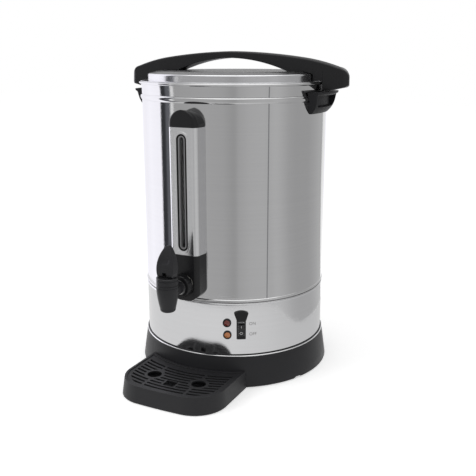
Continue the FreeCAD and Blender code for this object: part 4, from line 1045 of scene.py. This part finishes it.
@dataclass
class Gauge(Assembly):
    """Sight gauge: cover, cap, foot, window frame, glass and scale."""

    marks: int = 33
    long_every: int = 4
    mark_size: Triple = (2.6, 0.25, 0.5)
    mark_margin: float = 9.0
    mark_depth: float = 0.5

    def scale_marks(self) -> Object:
        """Fine bars across the dark channel behind the glass, every fourth one longer.

        Returns:
            The object.
        """
        (low, high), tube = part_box("gauge_window_gasket"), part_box("gauge_tube")
        z = np.linspace(low.z / MM + self.mark_margin, high.z / MM - self.mark_margin, self.marks)
        y = (tube[0].y + tube[1].y) / 2 / MM - self.mark_depth + 0 * z
        wide, deep, tall = self.mark_size
        half = wide * np.where(np.arange(self.marks) % self.long_every == 0, 1.4, 0.8)
        size = np.stack([half, deep + 0 * z, tall / 2 + 0 * z], 1)[:, None]
        corner = np.array([[i, j, k] for i in (-1, 1) for j in (0, -1) for k in (-1, 1)], float)
        points = corner * size + np.stack([0 * z, y, z], 1)[:, None]
        quad = np.array([[0, 1, 3, 2], [4, 6, 7, 5], [0, 4, 5, 1], [2, 3, 7, 6], [0, 2, 6, 4], [1, 5, 7, 3]])
        faces = quad + len(corner) * np.arange(self.marks)[:, None, None]
        mesh = bpy.data.meshes.new("scale_marks")
        mesh.from_pydata((points * MM).reshape(-1, 3).tolist(), [], faces.reshape(-1, 4).tolist())
        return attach(linked("scale_marks", mesh), "urn")

    def build(self) -> None:
        """Make and dress the gauge."""
        self.carry(
            ("gauge_cover", "gauge_steel", 0.12),
            ("gauge_cap", "black_gloss", 0.5),
            ("gauge_foot", "black_gloss", 0.7),
            ("gauge_window_gasket", "gasket_black", 0.3),
            ("gauge_window_liner", "window_liner", 0.15),
            ("gauge_tube", "gauge_glass", 0.0),
            ("gauge_backing", "scale_dark", 0.0),
            ("gauge_seals", "silicone", 0.0),
            ("gauge_cap_screw", "screw_steel", 0.3),
        )
        self.add(self.scale_marks(), "white_print")


@dataclass
class Tap(Assembly):
    """Lever tap with its shank and nut."""

    def build(self) -> None:
        """Dress the tap's pieces."""
        self.carry(
            ("tap_body", "tap_plastic", 0.5),
            ("tap_collar", "tap_plastic", 0.4),
            ("tap_lever", "tap_plastic", 0.7),
            ("tap_nut", "black_gloss", 0.5),
            ("tap_stem", "tap_plastic", 0.2),
            ("lever_pin", "screw_steel", 0.2),
            ("tap_seat_cup", "silicone", 0.3),
            ("tap_spring", "screw_steel", 0.0),
            ("tap_shank", "steel_inner", 0.2),
            ("shank_nut", "screw_steel", 0.5),
            ("shank_seals", "silicone", 0.0),
        )


@dataclass
class Controls(Assembly):
    """Switch, drip hood, pilot lamps and their plain words."""

    radius: float = 145.0
    word_height: float = 4.6
    word_thick: float = 0.12
    mark_height: float = 4.2
    mark_thick: float = 0.2
    switch_angle: float = 30.3

    def print_on(self, name: str, words: str, angle: float, z: float) -> None:
        """Lay a printed word on the band.

        Args:
            name: the object's name.
            words: what it says.
            angle: its middle, in degrees from the front.
            z: its middle's height in millimetres.
        """
        word = lettering(name, words, self.word_height, self.word_thick)
        moved_points(word, lambda co: round_urn(co * [1, -1, 1] + [0, 0, z * MM], self.radius * MM, angle))
        self.add(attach(word, "urn"), "dark_print")

    def rocker_mark(self, name: str, words: str, rise: float, out: float, lean: float) -> None:
        """Lay a mark on one of the rocker's two faces, leaning as the face does.

        Args:
            name: the object's name.
            words: what it says.
            rise: its height over the rocker's middle, in millimetres.
            out: its distance from the urn's axis, in millimetres.
            lean: how far it leans back, in degrees.
        """
        low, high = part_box("switch_rocker")
        mark = lettering(name, words, self.mark_height, self.mark_thick)
        for step in (
            Matrix.Rotation(math.radians(lean), 4, "X"),
            Matrix.Translation((0, -out * MM, (low.z + high.z) / 2 + rise * MM)),
            Matrix.Rotation(math.radians(self.switch_angle), 4, "Z"),
        ):
            mark.data.transform(step)
        self.add(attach(mark, "rocker"), "white_print")

    def build(self) -> None:
        """Make and dress the controls."""
        self.carry(
            ("switch_frame", "black_gloss", 0.25),
            ("switch_rocker", "rocker_gloss", 0.35),
            ("switch_hood", "black_gloss", 0.6),
            ("heating_lamp_bezel", "black_gloss", 0.35),
            ("ready_lamp_bezel", "black_gloss", 0.35),
            ("heating_lamp_lens", "red_lens", 0.2),
            ("ready_lamp_lens", "amber_lens", 0.2),
            ("cable_gland", "black_plastic", 0.5),
            ("gland_nut", "black_plastic", 0.4),
        )
        self.print_on("word_on", "ON", angle=37.1, z=100.5)
        self.print_on("word_off", "OFF", angle=37.4, z=84.0)
        self.rocker_mark("mark_on", "I", rise=5.6, out=149.23, lean=18.1)
        self.rocker_mark("mark_off", "O", rise=-5.4, out=147.17, lean=2.0)


@dataclass
class Tray(Assembly):
    """Drip tray with its grille."""

    def build(self) -> None:
        """Dress the tray."""
        self.carry(
            ("tray_bowl", "tray_plastic", 0.9),
            ("tray_grille", "tray_plastic", 0.3),
            ("tray_feet", "black_rubber", 0.3),
        )


@dataclass
class Inside(Assembly):
    """Pieces inside the base, which keep their own solids."""

    def build(self) -> None:
        """Dress the inner nodes."""
        for node, finish in (
            ("base_pillars", "zinc_plate"),
            ("heat_plate", "cast_alloy"),
            ("heating_element", "element_sheath"),
            ("boil_dry_cutout", "ceramic_white"),
            ("simmer_thermostat", "ceramic_white"),
            ("thermostat_bridge", "zinc_plate"),
            ("terminal_block", "ceramic_white"),
            ("internal_leads", "lead_sleeve"),
        ):
            self.add(self.frame["nodes"][node], finish)


# Studio


@dataclass
class Studio:
    """Camera, floor, reflecting cards, lamps and world.

    A row of levels holds an angle from the front towards +X in degrees and the brightness there, where
    1 is white. A row of foot_line holds an angle and the radius about the urn's axis at which a card's
    foot begins and the one on the floor ends. Points closer than inner_end are a card's inner end.
    """

    camera_place: Triple = (0.5155, -1.0339, 0.4968)
    azimuth: float = 26.5
    pitch: float = -14.556
    yaw: float = 0.276
    lens: float = 54.26
    sensor: float = 36.0
    clip: tuple[float, float] = (0.05, 50.0)
    lamps: Sequence[tuple[str, Triple, float, float]] = (
        ("key", (-1.3, -1.2, 1.7), 14.0, 1.2),
        ("fill", (1.6, -0.6, 1.4), 5.0, 1.4),
    )
    aim: Triple = (0, 0, 0.25)
    sky: float = 0.62
    floor_half: float = 6.0
    floor_glow: float = 0.42
    steps: int = 97
    inner_end: float = 1.0
    slack: float = 0.5
    foot_line: Pairs = (
        (60, 0.50), (67, 0.48), (74, 0.46), (79, 0.43), (85, 0.39), (94, 0.35), (104, 0.33),
    )
    bright_levels: Pairs = ((-180, 1.08), (-137, 1.10), (-115, 1.30), (-97, 1.52), (-71.5, 1.52))
    strip_levels: Pairs = ((-71.5, 0.06), (-63.5, 0.06), (-62, 0.18), (-54.5, 0.21))
    grey_levels: Pairs = (
        (-49.5, 0.50), (-6, 0.55), (4, 0.54), (13, 0.53), (24, 0.47), (27.5, 0.47), (31, 0.54),
        (44, 0.60), (60, 0.62), (67, 0.60), (74, 0.64), (79, 0.63), (85, 0.59), (94, 0.52),
        (104, 0.49), (126, 0.49), (138, 0.53), (154, 0.58), (165, 0.55),
    )
    behind_levels: Pairs = ((184, 0.33), (229, 0.33))
    floor_levels: Pairs = (
        (-180, 0.84), (10, 0.84), (60, 0.76), (67, 0.74), (74, 0.72), (79, 0.71), (85, 0.70),
        (94, 0.69), (104, 0.68), (125, 0.66), (180, 0.66),
    )
    overhead_levels: Pairs = ((-180, 1.9), (180, 1.9))

    def camera(self) -> None:
        """The photograph's viewpoint: level distance, pitch and lens as solved from the picture."""
        data = bpy.data.cameras.new("camera")
        data.lens = self.lens
        data.sensor_width = self.sensor
        data.clip_start, data.clip_end = self.clip
        cam = placed("camera", data)
        cam.location = self.camera_place
        heading = math.radians(self.azimuth) - math.radians(self.yaw)
        tilt = math.radians(self.pitch)
        level = math.cos(tilt)
        look = Vector((-math.sin(heading) * level, math.cos(heading) * level, math.sin(tilt)))
        cam.rotation_mode = "QUATERNION"
        cam.rotation_quaternion = look.to_track_quat("-Z", "Y")
        bpy.context.scene.camera = cam

    def floor(self) -> None:
        """A pale floor that stays white to the camera and keeps the object's shadow."""
        mesh = bpy.data.meshes.new("floor")
        s = self.floor_half
        mesh.from_pydata([(-s, -s, 0), (s, -s, 0), (s, s, 0), (-s, s, 0)], [], [(0, 1, 2, 3)])
        r = Recipe("floor")
        tone = r.mix(r.noise((3, 3, 3)), (0.93, 0.93, 0.93, 1), (0.95, 0.95, 0.95, 1))
        matt = r.node("ShaderNodeBsdfDiffuse", Color=tone)
        glow = r.node("ShaderNodeEmission", Color=(1, 1, 1, 1), Strength=self.floor_glow)
        both = r.node("ShaderNodeAddShader", in0=matt, in1=glow)
        shown = r.node("ShaderNodeMixShader", in0=direct_rays(r.tree), in1=matt, in2=both)
        mesh.materials.append(r.close(shown))
        placed("floor", mesh)

    def card(
        self, name: str, levels: Pairs, radii: Sequence[float], heights: Sequence[float],
        tint: Triple = (1, 1, 1), twist: float = 0.0,
    ) -> None:
        """A studio card round the urn, which only mirrors see.

        It has a line of points for each radius, at that radius and its height, for equal steps of the
        angle about the urn's axis. Between two rows the brightness and the radius change evenly.

        Args:
            name: the object's name.
            levels: rows of angle and brightness.
            radii: the radius of each line, 0 for the foot line's.
            heights: the height of each line.
            tint: the light's colour.
            twist: how far the line at the inner end is turned towards +X, in degrees.
        """
        angle, level = np.array(levels).T
        steps = np.linspace(angle[0], angle[-1], self.steps)[:, None]
        reach = np.where(np.array(radii) == 0, np.interp(steps, *np.array(self.foot_line).T), radii)
        a = np.radians(steps + twist * (reach < self.inner_end))
        points = np.stack([reach * np.sin(a), -reach * np.cos(a), heights + 0 * a], -1)
        obj = grid_object(name, points, (False, False))
        x, y = points_of(obj.data)[:, :2].T
        turn = np.degrees(np.arctan2(x, -y))
        turn = np.where(turn < angle[0] - self.slack, turn + 360, turn)
        turn = turn - twist * (np.hypot(x, y) < self.inner_end)
        shares = obj.data.attributes.new("level", "FLOAT", "POINT")
        shares.data.foreach_set("value", np.interp(turn, angle, level))
        r = Recipe(name)
        share = r.node("ShaderNodeAttribute", {"attribute_name": "level"}, output="Fac")
        obj.data.materials.append(r.close(r.node("ShaderNodeEmission", Color=rgba(tint), Strength=share)))
        for rays in ("camera", "diffuse", "shadow", "transmission", "volume_scatter"):
            setattr(obj, "visible_" + rays, False)

    def cards(self) -> None:
        """Set up four cards that stand, three of them on a foot, and two that lie flat."""
        radii, heights = (0, 1.9, 1.9), (0.002, 0.002, 2.2)
        strip_radii, strip_heights = (0, 1.88, 1.88), (0.003, 0.003, 2.2)
        self.card("bright_side", self.bright_levels, radii, heights, (0.95, 0.94, 1.0), 9.0)
        self.card("dark_strip", self.strip_levels, strip_radii, strip_heights, (0.88, 0.90, 1.0), 9.0)
        self.card("grey_round", self.grey_levels, radii, heights)
        self.card("grey_behind", self.behind_levels, (1.6, 1.6), (0.46, 2.6))
        self.card("floor_round", self.floor_levels, (0.168, 0), (0.0015, 0.0015))
        self.card("overhead", self.overhead_levels, (0.2, 1.5), (2.7, 2.7))

    def lamp(self, name: str, place: Triple, power: float, size: float) -> None:
        """A square soft box that is aimed at the urn's middle.

        Args:
            name: the lamp's name.
            place: where it stands.
            power: its power in watts.
            size: the length of its sides.
        """
        data = bpy.data.lights.new(name, "AREA")
        data.energy = power
        data.size = size
        obj = placed(name, data)
        obj.location = place
        obj.rotation_mode = "QUATERNION"
        obj.rotation_quaternion = (Vector(self.aim) - Vector(place)).to_track_quat("-Z", "Y")
        obj.visible_glossy = False

    def world(self) -> None:
        """A white world to the camera, mirrors and glass, and a plain dim sky for the rest."""
        world = bpy.data.worlds.new("world")
        world.use_nodes = True
        tree = world.node_tree
        tree.nodes.clear()
        glow = tree.nodes.new("ShaderNodeBackground")
        glow.inputs["Color"].default_value = (1, 1, 1, 1)
        strength = direct_rays(tree) * (1.0 - self.sky) + self.sky
        tree.links.new(strength.socket, glow.inputs["Strength"])
        out = tree.nodes.new("ShaderNodeOutputWorld")
        tree.links.new(glow.outputs[0], out.inputs["Surface"])
        bpy.context.scene.world = world

    def build(self) -> None:
        """Set the whole studio up."""
        self.camera()
        self.floor()
        self.world()
        self.cards()
        for lamp in self.lamps:
            self.lamp(*lamp)
        bpy.context.scene.view_settings.view_transform = "Standard"


def main() -> None:
    """Load the frame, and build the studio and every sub-assembly."""
    logging.basicConfig(level=logging.INFO, format="%(name)s: %(message)s")
    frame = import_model()
    Studio().build()
    LOG.info("studio set")
    paint = Paint()
    for kind in (Body, Base, Lid, SideHandles, Gauge, Tap, Controls, Tray, Inside):
        assembly = kind(frame, paint)
        assembly.build()
        LOG.info("%s: %s", kind.__name__, ", ".join(assembly.pieces))


if __name__ == "__main__":
    main()
